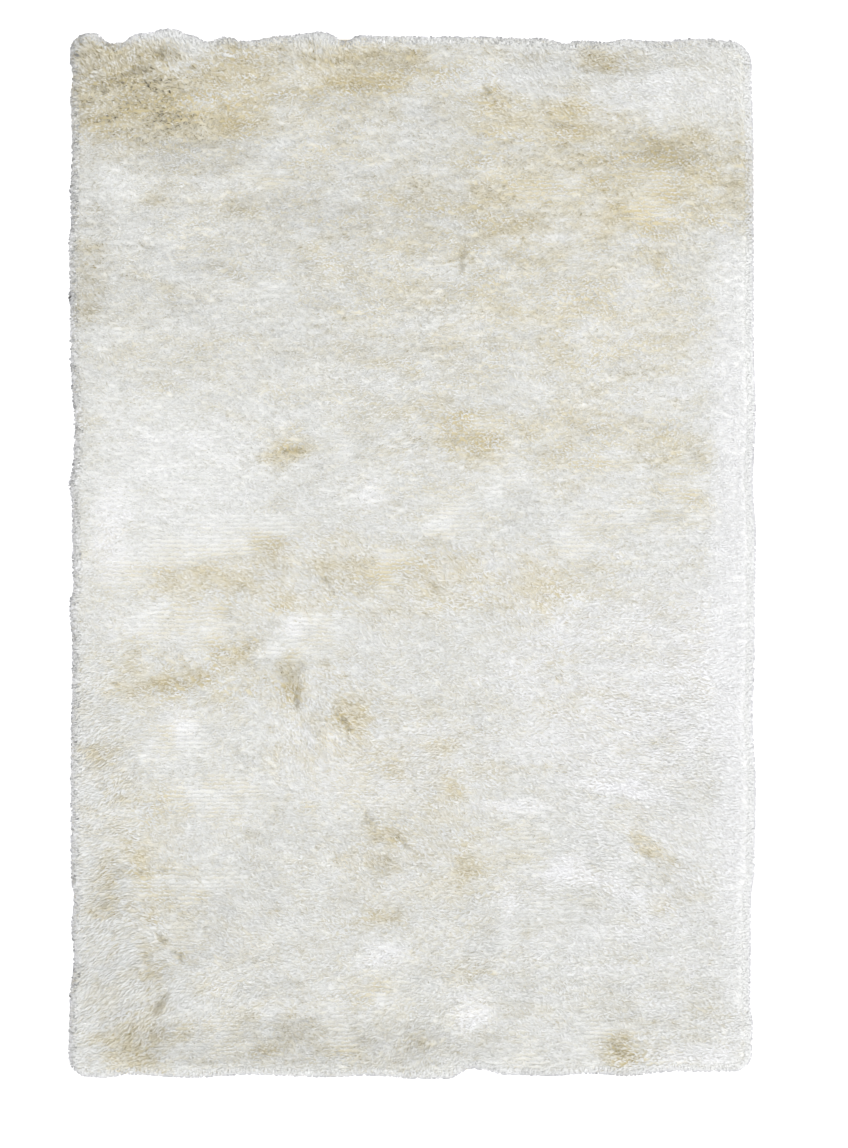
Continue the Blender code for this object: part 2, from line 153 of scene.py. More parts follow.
TONES = [ToneRow(*row) for row in (
    # Broad patches.
    (132, 94, 62, 54, 0.80, -0.54), (205, 128, 40, 16, 0.60, -0.14), (246, 92, 50, 44, 0.50, -0.16),
    (250, 58, 60, 14, 0.20, -0.36), (370, 72, 72, 26, 0.69, -0.18), (390, 160, 250, 82, 0.11, -0.24),
    (540, 190, 70, 60, 0.24, 0.08), (668, 184, 84, 52, 0.57, -0.15), (440, 280, 130, 110, 0.17, -0.10),
    (610, 330, 110, 80, 0.17, 0.02), (610, 455, 100, 50, 0.27, -0.12), (692, 511, 58, 18, 0.28, -0.18),
    (150, 860, 60, 90, 0.12, 0), (430, 860, 80, 60, 0.16, 0), (380, 750, 120, 80, 0.10, 0),
    (300, 1030, 130, 30, 0.08, 0), (620, 690, 130, 110, 0, 0.54), (610, 420, 110, 150, 0, 0.12),
    (450, 436, 90, 48, 0.20, 0), (370, 578, 250, 46, 0.18, 0.04), (195, 665, 95, 45, 0.20, -0.04),
    (722, 490, 17, 250, -0.10, 0.50), (500, 64, 180, 15, 0.12, -0.35), (160, 960, 90, 120, 0.04, -0.22),
    (180, 474, 90, 64, -0.14, 0.27), (640, 880, 130, 110, -0.07, 0.24), (150, 38, 42, 12, -0.30, 0.35),
    (74, 46, 16, 24, 0.05, -0.90), (84, 245, 28, 200, 0.02, -0.30), (178, 158, 96, 22, 0.04, -0.28),
    (220, 270, 150, 110, 0.02, -0.20), (400, 380, 150, 100, 0, -0.04), (140, 590, 100, 50, 0, 0.14),
    (705, 590, 36, 80, 0, 0.30), (300, 890, 110, 80, 0, -0.08),
    # Small ones, most of them creamy or darkened with painted shade.
    (330, 98, 26, 8, 0.24, -0.23), (401, 64, 20, 8, 0.12, -0.25), (360, 86, 20, 8, 0.24, -0.22),
    (500, 98, 20, 18, 0.40, -0.10), (576, 115, 18, 26, 0.36, -0.05), (600, 64, 22, 9, 0.56, -0.12),
    (665, 157, 40, 15, 0.24, -0.52), (612, 226, 36, 20, 0.40, 0.04, 10), (555, 124, 84, 22, 0.30, 0.12),
    (654, 260, 24, 8, 0.40, -0.22, -43), (592, 308, 26, 12, 0.28, -0.08, -20),
    (600, 375, 40, 24, 0.12, -0.10), (462, 436, 36, 24, 0.44, -0.12, -20),
    (465, 265, 14, 22, 0.24, -0.17, 30), (93, 284, 14, 50, 0.28, -0.04),
    (158, 200, 16, 10, 0.24, -0.22), (165, 289, 22, 9, 0.24, -0.22, -35),
    (228, 270, 28, 8, 0.08, -0.17), (291, 448, 31, 16, 0.40, -0.10, 36), (575, 482, 20, 12, 0.24, 0),
    (270, 546, 20, 12, 0.48, -0.17), (222, 580, 46, 13, 0.36, -0.22),
    (168, 581, 14, 11, 0.32, -0.15, 60), (350, 570, 42, 14, 0.30, -0.08),
    (286, 598, 15, 9, 0.48, -0.05), (450, 576, 40, 22, 0.29, -0.05), (545, 590, 22, 28, 0.29, 0),
    (158, 687, 44, 10, 0.38, -0.20), (197, 676, 15, 8, 0.28, -0.25),
    (235, 656, 22, 12, 0.40, -0.20, 20), (289, 679, 11, 22, 0.85, -0.55),
    (354, 720, 20, 26, 0.46, -0.10, 25), (106, 751, 16, 12, 0.48, -0.20), (400, 765, 13, 18, 0.24, 0),
    (441, 746, 16, 9, 0.32, 0, 15), (452, 792, 13, 12, 0.60, -0.17), (148, 797, 32, 8, 0.28, -0.10),
    (109, 864, 9, 16, 0.52, -0.29), (142, 865, 9, 19, 0.52, -0.08),
    (108, 900, 11, 14, 0.32, -0.25, -20), (385, 833, 15, 11, 0.40, -0.27, -20),
    (368, 861, 26, 10, 0.24, -0.17), (465, 863, 15, 24, 0.32, -0.10), (388, 915, 26, 7, 0.40, -0.20),
    (470, 920, 20, 14, 0.16, 0.05), (468, 972, 32, 8, 0.36, -0.12), (372, 990, 34, 18, 0.24, 0),
    (156, 980, 11, 28, 0.40, -0.17, 10), (136, 1046, 38, 26, 0.55, -0.16),
    (132, 1017, 18, 16, 0.24, -0.25), (260, 1050, 20, 9, 0.32, -0.20, 10),
    (340, 1049, 22, 9, 0.28, -0.15), (420, 1041, 24, 7, 0.28, -0.17), (619, 1050, 20, 16, 0.75, -0.30),
    (651, 847, 34, 11, 0.48, -0.24, -34), (664, 905, 18, 12, 0.28, -0.15),
    (530, 848, 30, 18, 0.24, -0.34),
    # Painted highlights, and strips of painted shade by the right and lower edges.
    (130, 186, 34, 20, -0.10, 0.26), (215, 186, 46, 18, -0.06, 0.30), (330, 266, 10, 22, 0, 0.50, 20),
    (475, 320, 20, 9, 0, 0.36), (112, 530, 22, 40, 0, 0.74), (370, 496, 18, 22, 0, 0.50, -30),
    (295, 627, 12, 9, 0, 0.85), (182, 720, 16, 24, 0, 0.51, 20), (510, 807, 42, 7, 0, 0.85),
    (630, 790, 40, 7, 0, 0.90, -10), (566, 868, 26, 12, 0, 0.60, 32), (508, 900, 8, 26, 0, 0.68),
    (605, 882, 38, 9, 0, 0.51, -15), (385, 955, 22, 12, 0, 0.90), (475, 1012, 22, 19, 0, 1.01),
    (700, 1054, 52, 12, 0, 0.60), (675, 92, 70, 20, -0.10, 0.32), (465, 65, 60, 10, -0.10, 0.30),
    (750, 195, 22, 56, 0.45, -0.80), (390, 760, 120, 50, 0, 0.24), (222, 985, 26, 22, 0, 0.32),
    (205, 1022, 26, 18, 0, 0.30), (310, 1042, 190, 28, 0.04, -0.42),
)]

# Narrow partings where the pile opens, with painted shade in them: half sizes again, and how far the bed
# dips.
PartingRow = namedtuple("PartingRow", "x y length width turn dip_mm")

PARTINGS = [PartingRow(*row) for row in (
    (463, 258, 20, 2.5, 85, 5), (488, 95, 12, 3, -60, 5), (130, 75, 14, 3.5, 30, 6),
    (165, 56, 10, 4, 0, 6), (298, 695, 14, 3, 80, 6), (345, 722, 18, 3, -50, 6),
    (330, 588, 16, 2.5, -52, 5), (432, 582, 18, 3, -55, 5), (372, 822, 20, 3, -60, 6),
    (400, 838, 16, 2.5, -40, 5), (640, 850, 30, 3.5, -38, 3), (670, 885, 26, 3.5, -38, 3),
    (170, 945, 22, 2.5, -48, 6), (205, 928, 10, 2.0, -60, 5), (163, 1000, 12, 4, 60, 6),
    (290, 450, 16, 2.5, 0, 4), (118, 872, 10, 4, 50, 5), (615, 1046, 12, 4, -30, 5),
    (560, 922, 60, 1.6, 2, 2), (230, 797, 120, 1.6, 0, 1.5),
)]

# Where the tufts stand short and upright, so that their rows show with painted shade between them. Half
# sizes, length along turn.
SoftPatch = namedtuple("SoftPatch", "x y length width strength turn", defaults=(0,))

ROW_PATCHES = [SoftPatch(*row) for row in (
    (430, 300, 360, 240, 0.3), (160, 462, 100, 70, 0.6), (170, 110, 90, 26, 0.3), (268, 178, 31, 22, 1),
    (550, 188, 42, 19, 1), (655, 195, 33, 41, 0.96), (280, 285, 20, 31, 0.78), (225, 300, 18, 34, 0.66),
    (130, 335, 37, 26, 0.54), (345, 450, 22, 34, 0.9), (485, 420, 18, 26, 0.72),
    (220, 540, 99, 24, 0.96, 10), (125, 578, 31, 22, 1), (190, 628, 66, 24, 1),
    (310, 638, 57, 26, 0.85, 25), (390, 572, 22, 26, 1), (450, 515, 37, 34, 0.9),
    (502, 480, 33, 31, 0.78), (615, 475, 44, 41, 0.75), (682, 480, 26, 31, 1), (578, 535, 22, 31, 1),
    (660, 520, 66, 24, 0.66), (180, 745, 40, 34, 0.9), (228, 800, 55, 31, 0.95),
    (350, 800, 77, 41, 0.54), (527, 843, 35, 43, 0.7), (565, 915, 62, 26, 0.55),
    (195, 885, 62, 24, 0.72), (185, 935, 22, 31, 0.72), (225, 1038, 66, 26, 0.65),
    (340, 1025, 24, 38, 0.84), (385, 985, 31, 22, 0.72), (595, 1030, 20, 26, 0.84),
    (515, 1055, 42, 22, 0.72),
)]

# The corner whose pile stands deepest, with the most painted shade in its gaps.
DEEP_CORNER = SoftPatch(140, 92, 80, 60, 1.0)

# The even strip of painted light down the right side.
CALM_SIDE = SoftPatch(742, 634, 27, 388, 0.9)
CALM_WARM = -0.3
CALM_LIGHT = 0.92

# ---- Numbers that shape the pile ----

SEED = 41
MAP_STEP = 4 * MM
MAP_MARGIN = 24 * MM
EDGE_BAND = 90 * MM
PLACES_AT_ONCE = 4000
SOLID_STEP = 16 * MM
SOLID_SOFTENING = 2
CROWN_BAND = 46 * MM
BED_COLUMNS = 150
BED_ROWS = 226
BED_INSET = 4 * MM
BACKING_COLUMNS = 30
BACKING_ROWS = 46
BACKING_INSET = BED_INSET + 3 * MM
SHARP_ANGLE = math.radians(40)
# The bed is coloured as if this far up a strand, so it takes the root's painted shade.
BED_ALONG = 0.12
FIELD_PIECES = 5
FIELD_INSET = BED_INSET + 2 * MM
FLOOR_CLEAR = 0.5 * MM

# A strand is a flat tapered blade. shares are its sections along its length, widths and arch
# are its width and its height over the bed at each. A vertex is a section and a hand of it.
StrandShape = namedtuple("StrandShape", "shares widths arch vertices corners face_sizes")

FIELD_STRAND = StrandShape(
    shares=(0.0, 0.52, 1.0),
    widths=(0.0, 1.0, 0.0),
    arch=(-0.35, 0.85, 0.9),
    vertices=((0, 0), (1, 1), (1, -1), (2, 0)),
    corners=(0, 2, 1, 2, 3, 1),
    face_sizes=(3, 3),
)
RIM_STRAND = StrandShape(
    shares=(0.0, 0.4, 0.9, 1.0),
    widths=(0.0, 1.0, 0.95, 0.0),
    arch=(-0.1, 0.7, 0.8, 0.4),
    vertices=((0, 0), (1, 1), (1, -1), (2, 1), (2, -1), (3, 0)),
    corners=(0, 2, 1, 2, 4, 3, 1, 4, 5, 3),
    face_sizes=(3, 4, 3),
)

# The field's rows wave gently over the rug. Where they show, their tufts stand close to them and lie
# straight to the left, with painted shade between the rows.
ROW_WAVE = 5 * MM
ROW_WAVE_SIZE = 260 * MM
ROW_RIPPLE = 1.6 * MM
ROW_RIPPLE_SIZE = 30 * MM
ROW_BREAK_SIZE = 12 * MM
ROW_CLOSENESS = 0.65
ROW_REACH = 6.5 * MM
ROW_SHADE = 2.2

# The field's tufts gather into clumps. Angles are in radians, lengths are shares of the tuft's own.
CLUMP_SCATTER = 0.42
CLUMP_ANGLE = 0.35
CLUMP_LENGTH = 0.2
TUFT_ANGLE = 0.55
TUFT_LENGTH = 0.3
TUFT_STRANDS = 3
TUFT_SPREAD = 2.0 * MM
TIP_SPREAD = 2.2 * MM
STRAND_BEND = 0.12
FIELD_RISE_MM = 3.8
OUTER_BAND = 20 * MM
OUTER_RUN = 12 * MM

# How much duller some clumps are and how much painted shade darkens the gaps round them, in plain pile
# and, on top of that, in deep pile. Then the tones that single strands have of their own, the darkest few
# painted shade.
DULL_PLAIN = 0.06
DULL_DEEP = 0.42
GAP_SHADE_PLAIN = 0.12
GAP_SHADE_DEEP = 0.8
STRAND_TONE = 0.16
STRAND_WARMTH = 0.12
STRAND_PALEST = 0.6
STRAND_DARKEST = 2.7

# The rim: how deep its strands are rooted, how they gather, and how far past the outline they go.
RIM_TUFT = 8 * MM
RIM_LUMP = 26 * MM
RIM_DEPTH = 19 * MM
RIM_LEAN = 3 * MM
RIM_LEAN_SIZE = 90 * MM
RIM_PUSH_MM = (3, 9)
RIM_RISE_MM = 3.0
RIM_SPILL = 0.6 * MM
MAX_SPILL = 3 * MM

# The rim's painted shade: its strength and its depth in millimetres, and those of the outermost yarn.
RIM_SHADE = 0.53
RIM_SHADE_MM = 6
OUTER_SHADE = 0.34
OUTER_SHADE_MM = 4.5

# How the pile lies where no brushed patch is near, and how its lie wanders.
REST_WEIGHT = 0.18
REST_FELT = 0.3
REST_SWEEP = 0.8
LAY_SWELL_SIZE = 170 * MM
LAY_DETAIL_SIZE = 60 * MM
LAY_TURN = 0.35

# A soft patch fades more abruptly the longer it is, in plan steps.
PATCH_CRISPNESS = 1.2
PATCH_CRISP_LENGTH = 60

# The tone where no patch is near, and the part of the rug that is brushed over both ways.
BASE_WARM = 0.06
BASE_LIGHT = 0.02
BRUSHED_LENGTH = 300 * MM
BRUSHED_WIDTH = 400 * MM
SWELL_ALONG_ROWS = 2.8
SWELL_BRUSHED = 1.4

MottleRow = namedtuple("MottleRow", "size_mm warm light")

MOTTLES = [MottleRow(*row) for row in (
    (60, 0.10, 0.12), (28, 0.28, 0.16), (13, 0.24, 0.20), (7, 0.22, 0.22),
)]

# How the places that patches are read at are pushed about, to make them ragged: first across the
# rug, then along it. by_mm is how far, and size_mm is the size of the swells.
PushRow = namedtuple("PushRow", "by_mm size_mm stretch")

TONE_PUSHES = ((PushRow(13, 30, 1.6), PushRow(11, 10, 2.5)), (PushRow(10, 26, 2.2), PushRow(6, 8, 2.0)))
ROW_PUSHES = ((PushRow(22, 24, 1.5), PushRow(9, 9, 1.0)), (PushRow(16, 24, 1.5),))
PARTING_PUSHES = ((PushRow(5, 16, 1.0),), (PushRow(5, 16, 1.0),))

# Seams are the crisp edges where one lick of pile lies over the next, painted in light and shade: a
# painted highlight on the pale lip, a painted shadow line and painted shade under it.
SEAM_SIZE = 42 * MM
SEAM_DETAIL_SIZE = 17 * MM
SEAM_SPREAD = 100 * MM
SEAM_HIGHLIGHT = 0.38
SEAM_SHADE = 0.25
SEAM_SHADOW_LINE = 0.42
PARTING_BREAK = 22 * MM
PARTING_SHADE_WARMTH = 0.08
PARTING_SHADE = 0.18


def length_property(label, description, millimetres):
    """A length that a user can change."""
    return FloatProperty(
        name=label, description=description, default=millimetres * MM, min=1 * MM, unit="LENGTH"
    )


def colour_property(label, description, default):
    """A colour that a user can change."""
    return FloatVectorProperty(
        name=label, description=description, default=default, min=0.0, max=1.0, size=3, subtype="COLOR"
    )


class RugSizes(bpy.types.PropertyGroup):
    """Sizes of the rug's layers."""

    backing_thickness: length_property("Backing thickness", "Thickness of the woven backing", 2.5)
    bed_drop: length_property("Bed drop", "How far the bed of pile lies below the rug's top", 5.5)
    rim_roll: length_property("Rim roll", "Distance over which the pile rounds down at the rim", 30)
    row_pitch: length_property("Row pitch", "Distance between two rows of tufts", 9.2)
    tuft_pitch: length_property("Tuft pitch", "Distance between two tufts in one row", 2.76)
    pile_length: length_property("Pile length", "How far a tuft reaches from the bed to its tip", 12)
    strand_width: length_property("Strand width", "Width of a strand of yarn at its widest", 2.0)
    clump_size: length_property("Clump size", "Distance between the clumps that tufts gather into", 9.5)
    rim_locks: IntProperty(
        name="Rim strands", description="Number of strands over the rim", default=24000, min=500, max=40000
    )


class RugColours(bpy.types.PropertyGroup):
    """Colours of the yarn, of the painted light and shade on it, and of the backing."""

    ivory: colour_property("Ivory", "Colour of most of the yarn", (0.836, 0.842, 0.830))
    cream: colour_property("Cream", "Colour of the warmer patches", (0.80, 0.746, 0.592))
    # White is painted light on the palest patches. Root, Gold and Rim are painted shade.
    white: colour_property("White", "Colour of the palest patches", (0.953, 0.955, 0.973))
    root: colour_property("Root", "Tint of the yarn down between the tufts", (0.95, 0.945, 0.925))
    gold: colour_property("Gold", "The same tint in the warmer patches", (0.79, 0.72, 0.50))
    rim: colour_property("Rim", "Tint of the yarn at the rug's rim", (0.60, 0.597, 0.64))
    backing: colour_property("Backing", "Colour of the woven backing", (0.62, 0.58, 0.49))


class RugStage(bpy.types.PropertyGroup):
    """Camera, floor and light."""

    camera_height: FloatProperty(
        name="Camera height", description="Height of the camera over the floor",
        default=6.0, min=1.0, unit="LENGTH",
    )
    key_strength: FloatProperty(
        name="Key light", description="Strength of the soft key light", default=0.85, min=0.0
    )
    sky_strength: FloatProperty(
        name="Sky light", description="Strength of the white light from all round", default=1.155, min=0.0
    )
    floor_colour: colour_property("Floor", "Colour of the floor", (0.93, 0.93, 0.93))


# ---- The rug's form: its outline, the heights of its solid, and its brushed patches ----


def ease(share):
    """Shares from 0 to 1, eased at both ends."""
    return share * share * (3 - 2 * share)


class Map:
    """A quantity kept on an even grid over the plan, and read smoothly between its nodes."""

    def __init__(self, values, low, step, eased=False):
        self.values = values
        self.low = low
        self.step = step
        self.eased = eased

    def at(self, x, y):
        """Value at each place."""
        rows, columns = self.values.shape[:2]
        across = np.clip((x - self.low[0]) / self.step, 0, columns - 1.001)
        up = np.clip((y - self.low[1]) / self.step, 0, rows - 1.001)
        i, j = across.astype(int), up.astype(int)
        u, v = across - i, up - j
        if self.eased:
            u, v = ease(u), ease(v)
        a, b = self.values[j, i], self.values[j, i + 1]
        c, d = self.values[j + 1, i], self.values[j + 1, i + 1]
        return (1 - v) * ((1 - u) * a + u * b) + v * ((1 - u) * c + u * d)


def map_places(step, margin):
    """Lowest corner and the grid of places of a map over the whole rug."""
    half_x = RUG_WIDTH / 2 + margin
    half_y = RUG_LENGTH / 2 + margin
    columns = int(math.ceil(2 * half_x / step)) + 1
    rows = int(math.ceil(2 * half_y / step)) + 1
    x = -half_x + step * np.arange(columns)
    y = -half_y + step * np.arange(rows)
    return (-half_x, -half_y), np.meshgrid(x, y)


def wander(rng, size, x, y, stretch=1.0):
    """Random values from -1 to 1 that change smoothly over the given size, stretched across the rug."""
    low, (nodes, _) = map_places(size, MAP_MARGIN + size)
    return Map(rng.uniform(-1, 1, nodes.shape), low, size, eased=True).at(x / stretch, y)


def plan_place(x, y):
    """Metres on the rug from plan steps."""
    return (x - PLAN_MIDDLE[0]) * PLAN_STEP, (PLAN_MIDDLE[1] - y) * PLAN_STEP


def edge_reach(rows, along):
    """Smoothed reach of an edge at places along it."""
    stations, reaches = np.array(rows).T * MM
    place = np.clip(np.searchsorted(stations, along) - 1, 0, len(rows) - 2)
    share = (along - stations[place]) / (stations[place + 1] - stations[place])
    return reaches[place] + ease(np.clip(share, 0, 1)) * (reaches[place + 1] - reaches[place])


def edge_run(rows, start, end, outward):
    """Places along one edge between its corners."""
    count = max(2, round(float(np.linalg.norm(end - start)) / OUTLINE_STEP))
    share = np.linspace(0, 1, count + 1)[:, None]
    places = start + share * (end - start)
    along = places[:, 1] if outward[1] == 0 else places[:, 0]
    return places + outward * edge_reach(rows, along)[:, None]


def corner_run(corner, first, last):
    """Places round one corner, from the reach of one edge to that of the next."""
    radius = corner.radius_mm * MM
    side = np.array((corner.side_x, corner.side_y))
    centre = side * (np.array((RUG_WIDTH, RUG_LENGTH)) / 2 - radius)
    middle = math.atan2(corner.side_y, corner.side_x)
    share = np.arange(1, ARC_STEPS) / ARC_STEPS
    angle = middle + (share - 0.5) * math.pi / 2
    reach = radius + first + share * (last - first)
    return centre + reach[:, None] * np.stack((np.cos(angle), np.sin(angle)), 1)


@lru_cache(maxsize=None)
def outline_sections():
    """The rug's outline as four runs, each from the middle of one corner to that of the next."""
    half = np.array((RUG_WIDTH, RUG_LENGTH)) / 2
    edges = [
        (BOTTOM_EDGE, np.array((0.0, -1.0))),
        (RIGHT_EDGE, np.array((1.0, 0.0))),
        (TOP_EDGE, np.array((0.0, 1.0))),
        (LEFT_EDGE, np.array((-1.0, 0.0))),
    ]
    runs = []
    reaches = []
    for index, (rows, outward) in enumerate(edges):
        here, there = CORNERS[index], CORNERS[(index + 1) % 4]
        travel = np.array((-outward[1], outward[0]))
        start = half * (here.side_x, here.side_y) + travel * here.radius_mm * MM
        end = half * (there.side_x, there.side_y) - travel * there.radius_mm * MM
        runs.append(edge_run(rows, start, end, outward))
        first, last = (rows[0], rows[-1]) if travel.sum() > 0 else (rows[-1], rows[0])
        reaches.append((first.out_mm * MM, last.out_mm * MM))
    arcs = [corner_run(CORNERS[i], reaches[i - 1][1], reaches[i][0]) for i in range(4)]
    half_arc = len(arcs[0]) // 2
    sections = []
    for index, run in enumerate(runs):
        following = arcs[(index + 1) % 4]
        section = np.concatenate((arcs[index][half_arc:], run, following[: half_arc + 1]))
        sections.append(section + np.array(RUG_SHIFT))
    return sections


def run_lengths(places):
    """How far along a run of places each of them lies."""
    return np.concatenate(([0.0], np.cumsum(np.linalg.norm(np.diff(places, axis=0), axis=1))))


def spread_evenly(section, count):
    """The same run at count even steps, with both its ends."""
    lengths = run_lengths(section)
    wanted = np.linspace(0, lengths[-1], count + 1)
    return np.stack([np.interp(wanted, lengths, section[:, axis]) for axis in (0, 1)], 1)


def outward_of(ring):
    """Outward directions of a closed ring that runs anticlockwise."""
    travel = np.roll(ring, -2, axis=0) - np.roll(ring, 2, axis=0)
    travel /= np.linalg.norm(travel, axis=1)[:, None]
    return np.stack((travel[:, 1], -travel[:, 0]), 1)


@lru_cache(maxsize=None)
def outline_ring():
    """The closed outline and its outward directions."""
    ring = np.concatenate([section[:-1] for section in outline_sections()])
    return ring, outward_of(ring)


@lru_cache(maxsize=None)
def edge_maps():
    """Maps of the distance in from the outline, and of the outward direction near it."""
    low, (x, y) = map_places(MAP_STEP, MAP_MARGIN)
    ring, outward = outline_ring()
    inset = np.full(x.shape, EDGE_BAND)
    out_x, out_y = np.zeros(x.shape), np.zeros(x.shape)
    near = np.minimum(RUG_WIDTH / 2 - abs(x), RUG_LENGTH / 2 - abs(y)) < EDGE_BAND
    places = np.stack((x[near], y[near]), 1)
    nearest = np.empty(len(places), int)
    for start in range(0, len(places), PLACES_AT_ONCE):
        part = places[start : start + PLACES_AT_ONCE]
        away = ((part[:, None, :] - ring[None]) ** 2).sum(2)
        nearest[start : start + PLACES_AT_ONCE] = away.argmin(1)
    step = ring[nearest] - places
    inset[near] = np.minimum((step * outward[nearest]).sum(1), EDGE_BAND)
    out_x[near], out_y[near] = outward[nearest].T
    return [Map(values, low, MAP_STEP) for values in (inset, out_x, out_y)]


def inset_at(x, y):
    """Distance in from the outline at each place."""
    return edge_maps()[0].at(x, y)


def outward_at(x, y):
    """Outward direction of the nearest edge at each place near the outline."""
    _, out_x, out_y = edge_maps()
    return out_x.at(x, y), out_y.at(x, y)


def softened(values, passes):
    """Values smoothed over their neighbours."""
    for _ in range(2 * passes):
        padded = np.concatenate((values[:1], values, values[-1:]))
        values = ((padded[:-2] + 2 * values + padded[2:]) / 4).T
    return values


@lru_cache(maxsize=None)
def solid_top():
    """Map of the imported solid's own top, its crown carried on over the rim."""
    mesh = frame["nodes"][SOLID_NODE].data
    tree = BVHTree.FromPolygons([v.co for v in mesh.vertices], [p.vertices for p in mesh.polygons])
    low, (x, y) = map_places(SOLID_STEP, MAP_MARGIN)
    pull = np.maximum(CROWN_BAND - inset_at(x, y), 0)
    out_x, out_y = outward_at(x, y)
    inner_x, inner_y = x - pull * out_x, y - pull * out_y
    top = np.zeros(x.shape)
    for index in np.ndindex(x.shape):
        hit = tree.ray_cast(Vector((inner_x[index], inner_y[index], 1.0)), Vector((0, 0, -1)))[0]
        top[index] = hit.z if hit else 0.0
    return Map(softened(top, SOLID_SOFTENING), low, SOLID_STEP, eased=True)


def patch_weight(row, x, y):
    """How strongly a soft patch is felt at each place."""
    centre = plan_place(row.x, row.y)
    turn = math.radians(row.turn)
    dx, dy = (x - centre[0]) / PLAN_STEP, (y - centre[1]) / PLAN_STEP
    along = (dx * math.cos(turn) + dy * math.sin(turn)) / row.length
    across = (dy * math.cos(turn) - dx * math.sin(turn)) / row.width
    crispness = PATCH_CRISPNESS + row.length / PATCH_CRISP_LENGTH
    return np.exp(-((along * along + across * across) ** crispness))


@lru_cache(maxsize=None)
def bed_top(bed_drop, rim_roll):
    """Map of the dense bed's top: the solid's lumps lowered, dipped at partings, rounded at the rim."""
    low, (x, y) = map_places(MAP_STEP, MAP_MARGIN)
    top = solid_top().at(x, y) - bed_drop
    for row in PARTINGS:
        top -= row.dip_mm * MM * patch_weight(row, x, y)
    share = np.clip((inset_at(x, y) - BED_INSET) / rim_roll, 0, 1)
    return Map(top * np.sqrt(np.maximum(1 - (1 - share) ** 2, 0)), low, MAP_STEP)


def brushed_lay(x, y, rng):
    """Angle that the pile is brushed along at each place, and how long it lies."""
    turn = 0.6 * wander(rng, LAY_SWELL_SIZE, x, y) + 0.4 * wander(rng, LAY_DETAIL_SIZE, x, y)
    total_x, total_y = -REST_WEIGHT * np.cos(turn), -REST_WEIGHT * np.sin(turn)
    sweep, felt = np.full(x.shape, REST_SWEEP * REST_FELT), np.full(x.shape, REST_FELT)
    for row in LAYS:
        centre = plan_place(row.x, row.y)
        reach = row.reach * PLAN_STEP
        weight = row.weight * np.exp(-((x - centre[0]) ** 2 + (y - centre[1]) ** 2) / reach**2)
        total_x += weight * math.cos(math.radians(row.heading))
        total_y += weight * math.sin(math.radians(row.heading))
        sweep += weight * row.sweep
        felt += weight
    return np.arctan2(total_y, total_x) + LAY_TURN * turn, sweep / felt


def calm_at(x, y):
    """How strongly the even strip of painted light down the right side is felt at each place."""
    return CALM_SIDE.strength * patch_weight(CALM_SIDE, x, y)


def ragged(rng, x, y, pushes):
    """Places pushed about at random, so that a patch read there has a ragged edge."""
    pushed = []
    for places, rows in zip((x, y), pushes):
        for row in rows:
            places = places + row.by_mm * MM * wander(rng, row.size_mm * MM, x, y, row.stretch)
        pushed.append(places)
    return pushed


def tone_at(x, y, rng):
    """Warmth of the yarn at each place, and its lightness: painted light and shade with random mottling."""
    ragged_x, ragged_y = ragged(rng, x, y, TONE_PUSHES)
    warm, light = np.full(x.shape, BASE_WARM), np.full(x.shape, BASE_LIGHT)
    for row in TONES:
        weight = patch_weight(row, ragged_x, ragged_y)
        warm += row.warm * weight
        light += row.light * weight
    # The rug is mottled along its rows, but for its lower left, which is brushed over both ways.
    brushed = np.clip(0.5 - y / BRUSHED_LENGTH, 0, 1) * np.clip(0.6 - x / BRUSHED_WIDTH, 0, 1)
    mottle = 0.5 + 2.0 * np.clip(warm, 0, 0.35)
    calmer = 1 - 0.3 * brushed
    for row in MOTTLES:
        size = row.size_mm * MM
        for share, stretch in ((1 - brushed, SWELL_ALONG_ROWS), (brushed, SWELL_BRUSHED)):
            pale = wander(rng, size, x, y, stretch)
            light += share * calmer * row.light * pale
            warm += share * row.warm * mottle * (0.85 * wander(rng, size, x, y, stretch) - 0.5 * pale)
    calm = calm_at(x, y)
    warm += calm * (CALM_WARM - warm)
    light += calm * (CALM_LIGHT - light)
    return np.clip(warm, -0.6, 1.3), np.clip(light, -1.3, 1.3)


def seam_tone(x, y):
    """Warmth, painted light and painted shade along the crisp edges where one lick of pile lies over the
    next.
    """
    rng = np.random.default_rng(SEED + 3)
    seam = wander(rng, SEAM_SIZE, x, y, 3.0) + 0.15 * wander(rng, SEAM_DETAIL_SIZE, x, y, 2.0)
    brushed = np.clip(0.5 - y / BRUSHED_LENGTH, 0, 1)
    felt = (0.3 + 0.33 * brushed) * np.clip(0.40 + 1.6 * wander(rng, SEAM_SPREAD, x, y), 0, 1)
    felt *= 1 - 0.8 * calm_at(x, y)
    # A painted highlight on the upper side, painted shade on the lower, and a thin painted shadow line.
    lip, shade = SEAM_HIGHLIGHT * np.exp(-abs(seam) / 0.22), SEAM_SHADE * np.exp(-abs(seam) / 0.30)
    line = SEAM_SHADOW_LINE * np.exp(-((seam / 0.07) ** 2))
    light = felt * (np.where(seam > 0, lip, -shade) - line)
    warm = np.zeros(x.shape)
    ragged_x, ragged_y = ragged(rng, x, y, PARTING_PUSHES)
    broken = np.clip(0.6 + wander(rng, PARTING_BREAK, x, y), 0, 1)
    # Partings take painted shade, a little golden, darker the deeper their dip.
    for row in PARTINGS:
        weight = row.dip_mm * broken * patch_weight(row, ragged_x, ragged_y)
        warm += PARTING_SHADE_WARMTH * weight
        light -= PARTING_SHADE * weight
    return warm, light


def rows_shown(x, y):
    """How clearly the rows of tufts show at each place, from 0 to 1."""
    rng = np.random.default_rng(SEED + 4)
    ragged_x, ragged_y = ragged(rng, x, y, ROW_PUSHES)
    shown = np.zeros(x.shape)
    for row in ROW_PATCHES:
        shown = np.maximum(shown, row.strength * patch_weight(row, ragged_x, ragged_y))
    return np.clip(shown * (1.15 + 0.3 * wander(rng, ROW_BREAK_SIZE, x, y, 1.5)), 0, 1)


# ---- Meshes ----


